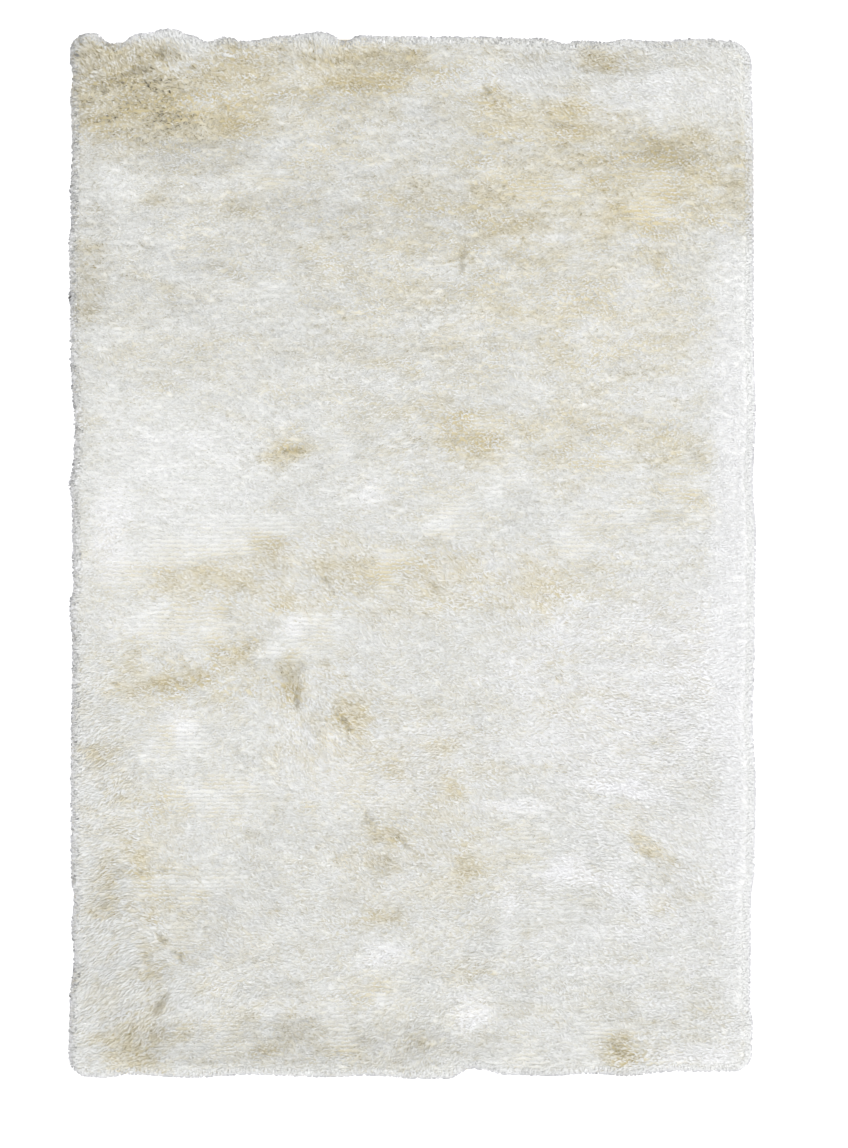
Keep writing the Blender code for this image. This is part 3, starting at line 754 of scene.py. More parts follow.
def mesh_from_arrays(name, points, faces, sizes):
    """A mesh from vertex places and from faces given as one flat run of corners and each face's size."""
    mesh = bpy.data.meshes.new(name)
    mesh.vertices.add(len(points))
    mesh.vertices.foreach_set("co", np.ascontiguousarray(points, np.float32).ravel())
    mesh.loops.add(len(faces))
    mesh.loops.foreach_set("vertex_index", np.ascontiguousarray(faces, np.int32))
    mesh.polygons.add(len(sizes))
    starts = np.concatenate(([0], np.cumsum(sizes)[:-1]))
    mesh.polygons.foreach_set("loop_start", starts.astype(np.int32))
    mesh.update(calc_edges=True)
    mesh.shade_smooth()
    return mesh


def quad_mesh(name, points, quads):
    """A mesh from vertex places and four-sided faces."""
    return mesh_from_arrays(name, points, quads.ravel(), [4] * len(quads))


def add_values(mesh, **values):
    """Keep numbers for each vertex with the mesh, for its material."""
    for name, numbers in values.items():
        layer = mesh.attributes.new(name, "FLOAT", "POINT")
        layer.data.foreach_set("value", np.ascontiguousarray(numbers, np.float32))


def new_object(name, data):
    """A new object in the scene."""
    made = bpy.data.objects.new(name, data)
    bpy.context.scene.collection.objects.link(made)
    return made


def place_piece(name, mesh, material):
    """Stand a finished mesh on the rug as one of its pieces."""
    mesh.materials.append(material)
    piece = new_object(name, mesh)
    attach(piece, "root")
    return piece


def stretched_grid(inset, columns, rows):
    """An even grid of places stretched inside the outline, set in from it."""
    counts = (columns, rows, columns, rows)
    runs = [spread_evenly(s, c) for s, c in zip(outline_sections(), counts)]
    ring = np.concatenate([run[:-1] for run in runs])
    ring = ring - inset * outward_of(ring)
    bottom = ring[: columns + 1]
    right = ring[columns : columns + rows + 1]
    top = ring[columns + rows : 2 * columns + rows + 1][::-1]
    left = np.concatenate((ring[2 * columns + rows :], ring[:1]))[::-1]
    u = np.linspace(0, 1, columns + 1)[None, :, None]
    v = np.linspace(0, 1, rows + 1)[:, None, None]
    sides = (1 - u) * left[:, None] + u * right[:, None]
    sides = sides + (1 - v) * bottom[None] + v * top[None]
    corners = (1 - v) * ((1 - u) * bottom[0] + u * bottom[-1]) + v * ((1 - u) * top[0] + u * top[-1])
    return sides - corners


def grid_faces(columns, rows):
    """Four-sided faces of a grid of places, row by row."""
    first = (np.arange(rows)[:, None] * (columns + 1) + np.arange(columns)[None]).ravel()
    return np.stack((first, first + 1, first + columns + 2, first + columns + 1), 1)


def build_backing(sizes, material):
    """Flat woven sheet under the pile, closed round its edge."""
    columns, rows = BACKING_COLUMNS, BACKING_ROWS
    grid = stretched_grid(BACKING_INSET, columns, rows).reshape(-1, 2)
    count = len(grid)
    upper = np.column_stack((grid, np.full(count, sizes.backing_thickness)))
    lower = np.column_stack((grid, np.zeros(count)))
    quads = grid_faces(columns, rows)
    rim = np.concatenate((
        np.arange(columns),
        np.arange(rows) * (columns + 1) + columns,
        rows * (columns + 1) + np.arange(columns, 0, -1),
        np.arange(rows, 0, -1) * (columns + 1),
    ))
    after = np.roll(rim, -1)
    wall = np.stack((rim + count, after + count, after, rim), 1)
    faces = np.concatenate((quads, quads[:, ::-1] + count, wall))
    mesh = quad_mesh("woven_backing", np.concatenate((upper, lower)), faces)
    mesh.set_sharp_from_angle(angle=SHARP_ANGLE)
    return place_piece("woven_backing", mesh, material)


def build_bed(sizes, material, rng):
    """Dense under-pile: the solid's lumpy top and rounded rim, on the backing."""
    grid = stretched_grid(BED_INSET, BED_COLUMNS, BED_ROWS)
    flat = grid.reshape(-1, 2)
    x, y = flat.T
    count = len(flat)
    top = bed_top(sizes.bed_drop, sizes.rim_roll).at(x, y)
    height = np.maximum(top, sizes.backing_thickness)
    edge = np.ones(grid.shape[:2], bool)
    edge[1:-1, 1:-1] = False
    height[edge.ravel()] = sizes.backing_thickness
    mesh = quad_mesh("pile_bed", np.column_stack((flat, height)), grid_faces(BED_COLUMNS, BED_ROWS))
    # The bed's tone with its painted light and shade, and the seams' and the rim's painted shade.
    warm, light = tone_at(x, y, rng)
    seam_warm, seam_light = seam_tone(x, y)
    add_values(mesh, warm=warm + seam_warm, light=light + seam_light, edge=rim_shade_tone(x, y))
    add_values(mesh, along=np.full(count, BED_ALONG), own=np.zeros(count))
    return place_piece("pile_bed", mesh, material)


def bake_cells(count, corners):
    """A small cell of a map for each strand, so that each keeps its own colours when its map is painted."""
    side = int(math.ceil(math.sqrt(count)))
    cell = np.arange(count)
    low = np.stack((cell % side, cell // side), 1) / side
    return (low[:, None, :] + corners[None] / side).reshape(-1, 2)


# One number of each kind for every strand: where its root is, how it lies, and its tone.
Strands = namedtuple("Strands", "x y angle reach bend width rise lift roll warm light own")


def strand_pieces(name, strands, shape, bed, material, pieces):
    """Joined meshes of strands of one shape, laid over the bed."""
    count = len(strands.x)
    size = len(shape.vertices)
    heading = np.stack((np.cos(strands.angle), np.sin(strands.angle)), 1)
    side = np.stack((-heading[:, 1], heading[:, 0]), 1)
    root = np.stack((strands.x, strands.y), 1)
    sections = []
    for share, arch in zip(shape.shares, shape.arch):
        middle = root + heading * (strands.reach * share)[:, None]
        middle += side * (strands.bend * 4 * share * (1 - share))[:, None]
        clear = strands.lift + strands.rise * arch
        height = np.maximum(bed.at(middle[:, 0], middle[:, 1]) + clear, FLOOR_CLEAR)
        sections.append((middle, height))
    points = np.empty((count, size, 3))
    for vertex, (section, hand) in enumerate(shape.vertices):
        middle, height = sections[section]
        reach = hand * strands.width * shape.widths[section] / 2
        points[:, vertex, :2] = middle + side * reach[:, None]
        points[:, vertex, 2] = np.maximum(height + strands.roll * reach, FLOOR_CLEAR)
    # Each vertex takes the seams' painted light and shade, and the rim's painted shade, where it lies.
    seam_warm, seam_light = seam_tone(points[:, :, 0], points[:, :, 1])
    tones = {
        "warm": strands.warm[:, None] + seam_warm,
        "light": strands.light[:, None] + seam_light,
        "own": strands.own[:, None] + np.zeros((1, size)),
        "edge": rim_shade_tone(points[:, :, 0], points[:, :, 1]),
    }
    corners = np.array(shape.corners)
    along = np.array([shape.shares[section] for section, _ in shape.vertices])
    across = np.array([hand for _, hand in shape.vertices])
    cell = np.stack((0.5 - 0.3 * across[corners], 0.1 + 0.8 * along[corners]), 1)
    bounds = np.linspace(0, count, pieces + 1).astype(int)
    for index, (start, stop) in enumerate(zip(bounds, bounds[1:])):
        part = stop - start
        faces = (np.arange(part)[:, None] * size + corners[None]).ravel()
        label = name if pieces == 1 else f"{name}_{index + 1}"
        sizes = np.tile(shape.face_sizes, part)
        mesh = mesh_from_arrays(label, points[start:stop].reshape(-1, 3), faces, sizes)
        add_values(mesh, along=np.tile(along, part), across=np.tile(across, part))
        add_values(mesh, **{key: values[start:stop].ravel() for key, values in tones.items()})
        layer = mesh.uv_layers.new(name="OFBake")
        layer.data.foreach_set("uv", bake_cells(part, cell).astype(np.float32).ravel())
        place_piece(label, mesh, material)


def gather_clumps(x, y, size, rng):
    """For each place, the middle of the nearest clump and that clump's own random numbers."""
    low, (cx, cy) = map_places(size, MAP_MARGIN + size)
    cx = cx + rng.uniform(-CLUMP_SCATTER, CLUMP_SCATTER, cx.shape) * size
    cy = cy + rng.uniform(-CLUMP_SCATTER, CLUMP_SCATTER, cy.shape) * size
    own = rng.uniform(-1, 1, cx.shape + (4,))
    i = np.clip(np.round((x - low[0]) / size).astype(int), 1, cx.shape[1] - 2)
    j = np.clip(np.round((y - low[1]) / size).astype(int), 1, cx.shape[0] - 2)
    best = np.full(x.shape, np.inf)
    best_i, best_j = i.copy(), j.copy()
    for dj in (-1, 0, 1):
        for di in (-1, 0, 1):
            away = (cx[j + dj, i + di] - x) ** 2 + (cy[j + dj, i + di] - y) ** 2
            closer = away < best
            best = np.where(closer, away, best)
            best_i = np.where(closer, i + di, best_i)
            best_j = np.where(closer, j + dj, best_j)
    return cx[best_j, best_i], cy[best_j, best_i], own[best_j, best_i]


def rim_shade_tone(x, y):
    """How much painted shade the yarn at each place takes at the rim: most on the left, least on the right.
    """
    out_x, out_y = outward_at(x, y)
    right = np.maximum(out_x, 0)
    side = RIM_SHADE - 0.21 * out_x - 0.05 * out_y + 0.05 * right
    inset = inset_at(x, y)
    near = np.clip(1 - inset / ((RIM_SHADE_MM + 15 * side + 12 * right) * MM), 0, 1)
    outer = np.clip(1 - inset / ((OUTER_SHADE_MM + 1.5 * right) * MM), 0, 1)
    return side * near**1.3 + (OUTER_SHADE + 0.2 * out_x) * outer


# One number of each kind for every tuft. shown is how clearly its row shows, deep how deep its gaps
# are and how much painted shade they take.
Tufts = namedtuple("Tufts", "x y row_y shown clump_x clump_y loose angle reach rise warm light deep")


def field_tufts(sizes, rng):
    """Every tuft of the field, row by row: where it stands, how it lies, and its tone."""
    half_x, half_y = RUG_WIDTH / 2 + MAP_MARGIN, RUG_LENGTH / 2 + MAP_MARGIN
    columns = np.arange(-half_x, half_x, sizes.tuft_pitch)
    rows = np.arange(half_y, -half_y, -sizes.row_pitch)
    x, y = np.meshgrid(columns, rows)
    x[1::2] += sizes.tuft_pitch / 2
    x, y = x.ravel(), y.ravel()
    wave = ROW_WAVE * wander(rng, ROW_WAVE_SIZE, x, y)
    y += wave + ROW_RIPPLE * wander(rng, ROW_RIPPLE_SIZE, x, y, 1.5)
    row_y = y.copy()
    shown = rows_shown(x, y)
    x = x + rng.uniform(-0.5, 0.5, x.shape) * sizes.tuft_pitch
    y = y + rng.uniform(-0.5, 0.5, x.shape) * sizes.row_pitch * (1 - ROW_CLOSENESS * shown)
    kept = inset_at(x, y) > FIELD_INSET
    x, y, row_y, shown = x[kept], y[kept], row_y[kept], shown[kept]
    count = len(x)

    # A tuft leans towards its clump, but where the rows show it lies straight to the left.
    clump_x, clump_y, clump = gather_clumps(x, y, sizes.clump_size, rng)
    angle, sweep = brushed_lay(clump_x, clump_y, rng)
    angle = np.arctan2((1 - shown) * np.sin(angle), (1 - shown) * np.cos(angle) - shown)
    loose = (1 - 0.6 * shown) * np.clip((1.35 - sweep) / 0.6, 0.3, 1)
    angle = angle + loose * (CLUMP_ANGLE * clump[:, 0] + rng.normal(0, TUFT_ANGLE, count))
    longer = 1 + CLUMP_LENGTH * clump[:, 1] + rng.uniform(-TUFT_LENGTH, TUFT_LENGTH, count)
    reach = sizes.pile_length * sweep**1.3 * longer
    reach += shown * (ROW_REACH - reach)

    # Some clumps are paler and some duller, and painted shade darkens the tufts in the gaps round them.
    warm, light = tone_at(clump_x + 0.6 * (x - clump_x), clump_y + 0.6 * (y - clump_y), rng)
    corner = patch_weight(DEEP_CORNER, x, y)
    deep = np.clip(-1.6 * light, 0, 1) * np.clip(warm, 0, 1) * (0.3 + 0.7 * corner)
    gap = np.clip(np.hypot(x - clump_x, y - clump_y) / sizes.clump_size * 5 - 1.8, 0, 1)
    dull = 2 * (1 / 3 - (0.5 + 0.5 * clump[:, 1]) ** 2)
    pale = (DULL_PLAIN + DULL_DEEP * deep) * dull - (GAP_SHADE_PLAIN + GAP_SHADE_DEEP * deep) * (gap - 0.3)
    pale *= np.where(pale > 0, 1, 1 + 0.7 * deep)
    light += pale
    # Paler tufts are cooler, and those darkened with painted shade are warmer.
    cooler = (0.6 + np.clip(warm, 0, 1)) * np.where(pale > 0, 1 - 0.65 * deep, 1)
    warm = (warm - cooler * pale) * (1 - 0.5 * shown)
    rise = (FIELD_RISE_MM + (1.0 + deep) * clump[:, 3] + rng.uniform(-1.0, 1.0, count)) * MM
    return Tufts(x, y, row_y, shown, clump_x, clump_y, loose, angle, reach, rise, warm, light, deep)


def field_strands(sizes, rng):
    """The strands of every tuft, which start apart and meet near its tip."""
    tufts = field_tufts(sizes, rng)
    owner = np.repeat(np.arange(len(tufts.x)), TUFT_STRANDS)
    own_tuft = Tufts(*(values[owner] for values in tufts))
    shown, loose, deep, warm = own_tuft.shown, own_tuft.loose, own_tuft.deep, own_tuft.warm
    count = len(owner)
    spread = TUFT_SPREAD * (1 - 0.7 * shown)
    root_x = own_tuft.x + rng.uniform(-1, 1, count) * spread
    root_y = own_tuft.y + rng.uniform(-1, 1, count) * spread
    pull_x = 0.5 * (loose * (own_tuft.clump_x - own_tuft.x))
    pull_y = 0.5 * (loose * (own_tuft.clump_y - own_tuft.y))
    apart = TIP_SPREAD * (0.3 + 0.7 * loose)
    tip_x = own_tuft.x + own_tuft.reach * np.cos(own_tuft.angle) + pull_x + rng.normal(0, 1, count) * apart
    tip_y = own_tuft.y + own_tuft.reach * np.sin(own_tuft.angle) + pull_y + rng.normal(0, 1, count) * apart

    # Each strand has its own tone, and painted shade darkens it between the rows where they show.
    off_row = np.clip(abs(2 * (root_y - own_tuft.row_y) / sizes.row_pitch), 0, 1)
    pale = rng.uniform(-STRAND_TONE, STRAND_TONE, count) * (1 - 0.5 * deep)
    row_tone = ROW_SHADE * (tufts.shown * rng.uniform(0.6, 1.4, len(tufts.x)))[owner]
    row_light_and_shade = row_tone * (0.22 - off_row**1.8)
    # The darkest few strands stand for painted shade deep between the tufts, warmer, and darker in deep
    # pile.
    own = STRAND_PALEST - STRAND_DARKEST * rng.random(count) ** 4
    uneven = (0.8 + 0.3 * np.clip(tufts.light, 0, 0.6) - 0.6 * calm_at(tufts.x, tufts.y))[owner]
    creamy = 0.07 + 0.13 * np.clip(warm, 0, 1)
    warm = warm - 0.8 * pale - 0.8 * creamy * row_light_and_shade - creamy * own

    # Near the outline the strands turn outwards, and end at it.
    inset = inset_at(root_x, root_y)
    out_x, out_y = outward_at(root_x, root_y)
    outer = np.clip(1 - (inset - BED_INSET) / OUTER_BAND, 0, 1) ** 1.2
    run_x = (tip_x - root_x) * (1 - outer) + outer * OUTER_RUN * out_x
    run_y = (tip_y - root_y) * (1 - outer) + outer * OUTER_RUN * out_y
    length = np.maximum(np.hypot(run_x, run_y), 1 * MM)
    outgoing = np.maximum((run_x * out_x + run_y * out_y) / length, 0.05)
    length = np.minimum(length, (inset + rng.uniform(-4, 1.0, count) * MM) / outgoing)
    return Strands(
        x=root_x,
        y=root_y,
        angle=np.arctan2(run_y, run_x),
        reach=length,
        bend=rng.uniform(-STRAND_BEND, STRAND_BEND, count) * length,
        width=sizes.strand_width * rng.uniform(0.75, 1.2, count) * (1 - 0.2 * shown),
        rise=own_tuft.rise * (1 - 0.25 * outer),
        lift=rng.uniform(-0.7, 0.9, count) * MM,
        roll=rng.uniform(-0.4, 0.4, count),
        warm=warm + rng.uniform(-STRAND_WARMTH, STRAND_WARMTH, count),
        light=own_tuft.light + pale + row_light_and_shade,
        own=own * (uneven + np.where(own > 0, 0, 1.8 * deep)),
    )


def rim_strands(sizes, rng):
    """Strands in small pointed tufts along the rim, the outer ones with their tips down by the floor."""
    ring, outward = outline_ring()
    count = sizes.rim_locks
    lengths = run_lengths(ring)
    place = np.sort(rng.uniform(0, lengths[-1], count))
    index = np.clip(np.searchsorted(lengths, place) - 1, 0, len(ring) - 2)
    share = ((place - lengths[index]) / (lengths[index + 1] - lengths[index]))[:, None]
    out = outward[index] * (1 - share) + outward[index + 1] * share
    inset = BED_INSET + 1 * MM + RIM_DEPTH * rng.uniform(0, 1, count) ** 1.4
    root = ring[index] * (1 - share) + ring[index + 1] * share - out * inset[:, None]
    x, y = root.T

    # The left and top edges are rougher than the right one.
    rough = np.clip(0.5 - 0.5 * out[:, 0] + 0.25 * out[:, 1], 0.06, 1)
    tuft_x, tuft_y, tuft = gather_clumps(x, y, RIM_TUFT, rng)
    lump = gather_clumps(tuft_x, tuft_y, RIM_LUMP, rng)[2]
    to_tuft = np.stack((tuft_x - x, tuft_y - y), 1)
    gap = np.clip(np.linalg.norm(to_tuft, axis=1) / (0.4 * RIM_TUFT) - 0.4, 0, 1)
    aside = np.stack((-out[:, 1], out[:, 0]), 1)
    lean = RIM_LEAN * wander(rng, RIM_LEAN_SIZE, x, y) + 2 * MM * lump[:, 0]
    push = rng.uniform(*RIM_PUSH_MM, count) * MM
    run = 0.6 * to_tuft + out * push[:, None] + aside * (lean + rng.normal(0, 1.2, count) * MM)[:, None]
    uneven = 1.8 * lump[:, 1] + 1.8 * tuft[:, 1] + rng.uniform(-0.8, 0.8, count)
    spill = np.minimum(RIM_SPILL + rough * uneven * MM, MAX_SPILL)
    past = -inset_at(*(root + run).T) - spill
    run -= out * np.maximum(past, 0)[:, None]
    length = np.linalg.norm(run, axis=1)

    # The rim's yarn is darkened a little with painted shade, and its tufts get painted light in their
    # middles and painted shade in the gaps between them, most on the rough left and top.
    warm, light = tone_at(x, y, rng)
    light = np.where(light < 0, 1.0, 0.35) * light - 0.12
    return Strands(
        x=x,
        y=y,
        angle=np.arctan2(run[:, 1], run[:, 0]),
        reach=length,
        bend=rng.uniform(-STRAND_BEND, STRAND_BEND, count) * length,
        width=sizes.strand_width * rng.uniform(1.1, 1.7, count),
        rise=(RIM_RISE_MM + 0.8 * tuft[:, 3] + rng.uniform(-0.8, 0.8, count)) * MM,
        lift=rng.uniform(-0.5, 0.8, count) * MM,
        roll=rng.uniform(-0.3, 0.3, count),
        warm=0.5 * warm - 0.05,
        light=light + rough * (0.5 * lump[:, 2] + 0.9 * tuft[:, 2] + 0.75 - 1.9 * gap),
        own=rng.uniform(-1, 1, count) * (0.25 + 0.75 * rough),
    )


# ---- Materials ----

WHITE = (1.0, 1.0, 1.0, 1.0)
# White is a painted-light colour. Root, Gold and Rim are painted-shade tints.
YARN_TINTS = ("Ivory", "Cream", "White", "Root", "Gold", "Rim")
YARN_VALUES = {"Warm": 0.0, "Light": 0.0, "Own": 0.0, "Edge": 0.0, "Along": 1.0}
YARN_FINISH = {"Roughness": 0.55, "Specular IOR Level": 0.2, "Sheen Weight": 0.12, "Sheen Roughness": 0.45}

# How far painted light, painted shade and a strand's own tone change its colour, how far the darkest
# strands take their root's painted shade, and how far up from its root painted shade tints it.
HIGHLIGHT_SHARE = 0.9
DARK_SHADE = 0.24
OWN_SHADE = 0.1
OWN_ROOT_SHADE = 0.42
ROOT_SHADE_SHARE = 0.38

STRAND_RELIEF = 0.7 * MM
FUZZ_RELIEF = 3 * MM
FUZZ_STRENGTH = 0.8
FUZZ_SCALE = 260.0
FUZZ_DETAIL = 3.0
WEAVE_PITCH = 5 * MM
WEAVE_RELIEF = 0.8 * MM
WEAVE_SHADE = 0.72


def feed(tree, socket, value):
    """Link a socket to an output, or set its value."""
    if isinstance(value, bpy.types.NodeSocket):
        tree.links.new(value, socket)
    else:
        socket.default_value = value


def new_node(tree, kind, inputs, **settings):
    """A node with its settings made and its inputs fed."""
    node = tree.nodes.new("ShaderNode" + kind)
    for name, value in settings.items():
        setattr(node, name, value)
    for name, value in inputs.items():
        feed(tree, node.inputs[name], value)
    return node


def new_group(name, colours, values, output, kind):
    """A shader group with named inputs and one output, and its ports for them."""
    group = bpy.data.node_groups.new(name, "ShaderNodeTree")
    for label in colours:
        group.interface.new_socket(label, in_out="INPUT", socket_type="NodeSocketColor")
    for label, default in values.items():
        socket = group.interface.new_socket(label, in_out="INPUT", socket_type="NodeSocketFloat")
        socket.default_value = default
    group.interface.new_socket(output, in_out="OUTPUT", socket_type=kind)
    start, end = group.nodes.new("NodeGroupInput"), group.nodes.new("NodeGroupOutput")
    return group, start.outputs, end.inputs[output]


def math_node(tree, operation, a, b=0.0, clamp=False):
    """The outcome of a sum of sockets or numbers."""
    return new_node(tree, "Math", {0: a, 1: b}, operation=operation, use_clamp=clamp).outputs[0]


def mix_colours(tree, factor, first, second):
    """A mix of two colours."""
    inputs = {"Factor": factor, "A": first, "B": second}
    return new_node(tree, "Mix", inputs, data_type="RGBA").outputs["Result"]


def multiplied(tree, first, second):
    """One colour tinted with another."""
    return new_node(tree, "VectorMath", {0: first, 1: second}, operation="MULTIPLY").outputs[0]


@lru_cache(maxsize=None)
def yarn_colour_group():
    """Colour of a strand from its tone, its painted light and shade, and how far along it a place lies."""
    group, ports, colour = new_group("yarn_colour", YARN_TINTS, YARN_VALUES, "Colour", "NodeSocketColor")
    warm = math_node(group, "MAXIMUM", ports["Warm"], 0.0, clamp=True)
    # Painted light mixes the tone towards White, and painted shade and the strand's own tone scale it.
    pale = math_node(group, "MAXIMUM", ports["Light"], 0.0)
    pale = math_node(group, "MULTIPLY", pale, HIGHLIGHT_SHARE, clamp=True)
    tone = mix_colours(group, warm, ports["Ivory"], ports["Cream"])
    tone = mix_colours(group, pale, tone, ports["White"])
    shade = math_node(group, "MULTIPLY", math_node(group, "MINIMUM", ports["Light"], 0.0), DARK_SHADE)
    shade = math_node(group, "ADD", shade, math_node(group, "MULTIPLY", ports["Own"], OWN_SHADE))
    shade = math_node(group, "ADD", shade, 1.0)
    scaled = new_node(group, "VectorMath", {0: tone, "Scale": shade}, operation="SCALE").outputs[0]
    # Down between the tufts, and in the darkest strands, painted shade gives the yarn the tint of its root.
    root_shade_tint = mix_colours(group, warm, ports["Root"], ports["Gold"])
    reach = {"Value": ports["Along"], "From Max": ROOT_SHADE_SHARE}
    depth = new_node(group, "MapRange", reach, interpolation_type="SMOOTHSTEP").outputs["Result"]
    tint = mix_colours(group, depth, root_shade_tint, WHITE)
    dark = math_node(group, "MINIMUM", ports["Own"], 0.0)
    dark = math_node(group, "MULTIPLY", dark, -OWN_ROOT_SHADE, clamp=True)
    tint = mix_colours(group, dark, tint, root_shade_tint)
    # Painted shade over the rim, in the Rim colour.
    rim_shade_tint = mix_colours(group, ports["Edge"], WHITE, ports["Rim"])
    feed(group, colour, multiplied(group, multiplied(group, scaled, tint), rim_shade_tint))
    return group


@lru_cache(maxsize=None)
def strand_relief_group():
    """Rounds a flat strand across its width."""
    values = {"Across": 0.0, "Strength": 1.0}
    group, ports, normal = new_group("strand_relief", (), values, "Normal", "NodeSocketVector")
    square = math_node(group, "MULTIPLY", ports["Across"], ports["Across"])
    rounded = math_node(group, "SUBTRACT", 1.0, square)
    relief = {"Distance": STRAND_RELIEF, "Strength": ports["Strength"], "Height": rounded}
    feed(group, normal, new_node(group, "Bump", relief).outputs["Normal"])
    return group


def read_value(tree, name):
    """One of the mesh's own numbers."""
    return new_node(tree, "Attribute", {}, attribute_name=name).outputs["Fac"]


def object_place(tree):
    """Where a place lies on the rug."""
    return new_node(tree, "TexCoord", {}).outputs["Object"]


def new_material(name, finish):
    """A material with its finish set, its node tree, and the inputs of its surface."""
    material = bpy.data.materials.new(name)
    material.use_nodes = True
    surface = material.node_tree.nodes["Principled BSDF"].inputs
    for label, value in finish.items():
        surface[label].default_value = value
    return material, material.node_tree, surface


def yarn_material(name, colours, stranded):
    """Silky yarn: its colour from each strand's tone with its painted light and shade, its relief from the
    strand's width or a fine fuzz.
    """
    material, tree, surface = new_material(name, YARN_FINISH)
    inputs = {label: (*getattr(colours, label.lower()), 1.0) for label in YARN_TINTS}
    inputs.update({label: read_value(tree, label.lower()) for label in YARN_VALUES})
    colour = new_node(tree, "Group", inputs, node_tree=yarn_colour_group())
    if stranded:
        across = {"Across": read_value(tree, "across")}
        relief = new_node(tree, "Group", across, node_tree=strand_relief_group())
    else:
        fuzz = {"Vector": object_place(tree), "Scale": FUZZ_SCALE, "Detail": FUZZ_DETAIL}
        height = new_node(tree, "TexNoise", fuzz).outputs["Fac"]
        bump = {"Distance": FUZZ_RELIEF, "Strength": FUZZ_STRENGTH, "Height": height}
        relief = new_node(tree, "Bump", bump)
    feed(tree, surface["Base Color"], colour.outputs["Colour"])
    feed(tree, surface["Normal"], relief.outputs["Normal"])
    return material


def backing_material(colours):
    """Coarse plain-woven backing."""
    material, tree, surface = new_material("backing_weave", {"Roughness": 0.9})
    place = new_node(tree, "SeparateXYZ", {0: object_place(tree)}).outputs
    turns = 2 * math.pi / WEAVE_PITCH
    warp, weft = [math_node(tree, "SINE", math_node(tree, "MULTIPLY", place[axis], turns)) for axis in "XY"]
    level = math_node(tree, "MULTIPLY", math_node(tree, "MULTIPLY", warp, weft), 0.5)
    level = math_node(tree, "ADD", level, 0.5, clamp=True)
    base = np.array(colours.backing)
    colour = mix_colours(tree, level, (*(WEAVE_SHADE * base), 1.0), (*base, 1.0))
    bump = new_node(tree, "Bump", {"Distance": WEAVE_RELIEF, "Height": level})
    feed(tree, surface["Base Color"], colour)
    feed(tree, surface["Normal"], bump.outputs["Normal"])
    return material


# ---- Stage ----

FLOOR_SIZE = 14.0
FLOOR_DROP = 0.2 * MM
FLOOR_GLOW = 0.5
KEY_TURN = (50, 0, 62)
KEY_SOFTNESS = 24

# The camera stands over this place of the plan, and its frame is this many plan steps high.
CAMERA_PLACE = (424.0, 574.0)
FRAME_HEIGHT_STEPS = 1148
CAMERA_SIGHT = 50.0
SENSOR_HEIGHT = 36.0


def build_floor(stage):
    """Plain pale floor."""
    half = FLOOR_SIZE / 2
    corners = [(x * half, y * half, -FLOOR_DROP) for x, y in ((-1, -1), (1, -1), (1, 1), (-1, 1))]
    mesh = bpy.data.meshes.new("floor")
    mesh.from_pydata(corners, [], [(0, 1, 2, 3)])
    glow = {"Roughness": 1.0, "Emission Color": WHITE, "Emission Strength": FLOOR_GLOW}
    material, _, surface = new_material("floor_pale", glow)
    surface["Base Color"].default_value = (*stage.floor_colour, 1.0)
    mesh.materials.append(material)
    floor = new_object("floor", mesh)


def build_light(scene, stage):
    """One broad soft key from the rug's lower right, and even light from all round."""
    data = bpy.data.lights.new("key", "SUN")
    data.energy = stage.key_strength
    data.angle = math.radians(KEY_SOFTNESS)
    new_object("key", data).rotation_euler = [math.radians(turn) for turn in KEY_TURN]
    world = bpy.data.worlds.new("studio")
    world.use_nodes = True
    background = world.node_tree.nodes["Background"]
    background.inputs["Color"].default_value = WHITE
    background.inputs["Strength"].default_value = stage.sky_strength
    scene.world = world


def build_camera(scene, stage):
    """Camera straight above, framed as the rug was."""
    data = bpy.data.cameras.new("camera")
    data.sensor_fit = "VERTICAL"
    data.sensor_height = SENSOR_HEIGHT
    data.lens = SENSOR_HEIGHT * stage.camera_height / (FRAME_HEIGHT_STEPS * PLAN_STEP)
    data.clip_end = CAMERA_SIGHT
    camera = new_object("camera", data)
    camera.location = (*plan_place(*CAMERA_PLACE), stage.camera_height)
    scene.camera = camera


# ---- Operators ----


def remove_old(name, kinds=()):
    """Take away what an earlier run made, and every object of the kinds given."""
    for old in [o for o in bpy.data.objects if o.name.startswith(name) or o.type in kinds]:
        bpy.data.objects.remove(old, do_unlink=True)


class RUG_OT_pile_bed(bpy.types.Operator):
    """Lay the dense bed of pile in place of the rug's solid"""

    bl_idname = "rug.pile_bed"
    bl_label = "Pile bed"

    def execute(self, context):
        remove_old("pile_bed")
        scene = context.scene
        material = yarn_material("yarn_bed", scene.rug_colours, stranded=False)
        piece = build_bed(scene.rug_sizes, material, np.random.default_rng(SEED))
        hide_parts(SOLID_NODE)
        return {"FINISHED"}


class RUG_OT_pile_field(bpy.types.Operator):
    """Lay the field's strands of yarn over the bed"""

    bl_idname = "rug.pile_field"
    bl_label = "Pile field"

    def execute(self, context):
        remove_old("pile_field")
        sizes = context.scene.rug_sizes
        material = yarn_material("yarn_field", context.scene.rug_colours, stranded=True)
        strands = field_strands(sizes, np.random.default_rng(SEED + 1))
        bed = bed_top(sizes.bed_drop, sizes.rim_roll)
        strand_pieces("pile_field", strands, FIELD_STRAND, bed, material, FIELD_PIECES)
        return {"FINISHED"}


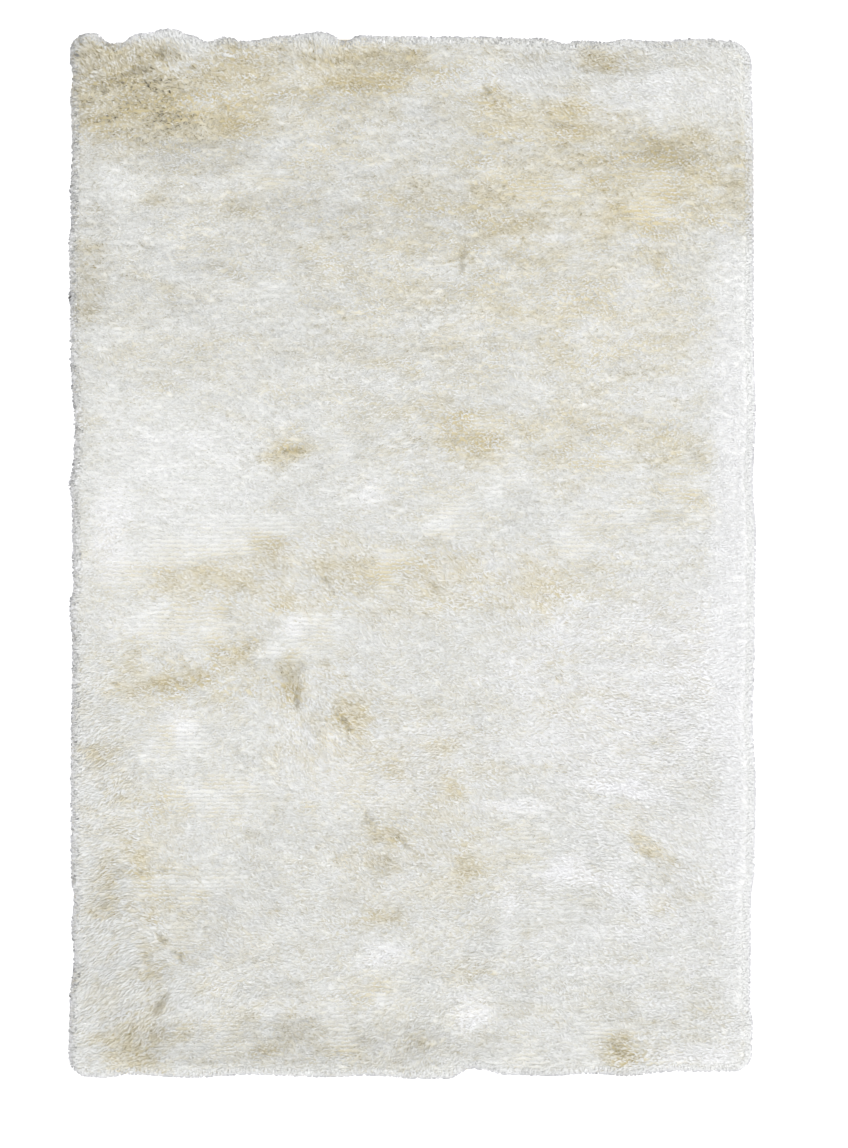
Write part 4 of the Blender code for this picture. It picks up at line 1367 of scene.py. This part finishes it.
class RUG_OT_rim_locks(bpy.types.Operator):
    """Hang strands of yarn over the rug's rim"""

    bl_idname = "rug.rim_locks"
    bl_label = "Rim locks"

    def execute(self, context):
        remove_old("rim_locks")
        sizes = context.scene.rug_sizes
        material = yarn_material("yarn_rim", context.scene.rug_colours, stranded=True)
        strands = rim_strands(sizes, np.random.default_rng(SEED + 2))
        bed = bed_top(sizes.bed_drop, sizes.rim_roll)
        strand_pieces("rim_locks", strands, RIM_STRAND, bed, material, 1)
        return {"FINISHED"}


class RUG_OT_backing(bpy.types.Operator):
    """Lay the woven backing under the pile"""

    bl_idname = "rug.backing"
    bl_label = "Woven backing"

    def execute(self, context):
        remove_old("woven_backing")
        scene = context.scene
        piece = build_backing(scene.rug_sizes, backing_material(scene.rug_colours))
        return {"FINISHED"}


class RUG_OT_stage(bpy.types.Operator):
    """Set the floor, the soft light and the camera"""

    bl_idname = "rug.stage"
    bl_label = "Stage"

    def execute(self, context):
        remove_old("floor", ("LIGHT", "CAMERA"))
        scene = context.scene
        stage = scene.rug_stage
        build_floor(stage)
        build_light(scene, stage)
        build_camera(scene, stage)
        scene.view_settings.view_transform = "Standard"
        return {"FINISHED"}


class RUG_PT_panel(bpy.types.Panel):
    """Sizes, colours and build steps of the rug"""

    bl_idname = "RUG_PT_panel"
    bl_label = "Shag rug"
    bl_space_type = "VIEW_3D"
    bl_region_type = "UI"
    bl_category = "Rug"

    def draw(self, context):
        for name in GROUPS:
            group = getattr(context.scene, name)
            box = self.layout.box()
            for label in group.__annotations__:
                box.prop(group, label)
        for operator in STEPS:
            self.layout.operator(operator.bl_idname)


STEPS = (RUG_OT_pile_bed, RUG_OT_pile_field, RUG_OT_rim_locks, RUG_OT_backing, RUG_OT_stage)
GROUPS = {"rug_sizes": RugSizes, "rug_colours": RugColours, "rug_stage": RugStage}
CLASSES = (*GROUPS.values(), *STEPS, RUG_PT_panel)


def register():
    for cls in CLASSES:
        bpy.utils.register_class(cls)
    for name, group in GROUPS.items():
        setattr(bpy.types.Scene, name, PointerProperty(type=group))


def unregister():
    for name in GROUPS:
        delattr(bpy.types.Scene, name)
    for cls in reversed(CLASSES):
        bpy.utils.unregister_class(cls)


def main():
    register()
    bpy.ops.rug.pile_bed()
    bpy.ops.rug.pile_field()
    bpy.ops.rug.rim_locks()
    bpy.ops.rug.backing()
    bpy.ops.rug.stage()


if __name__ == "__main__":
    main()
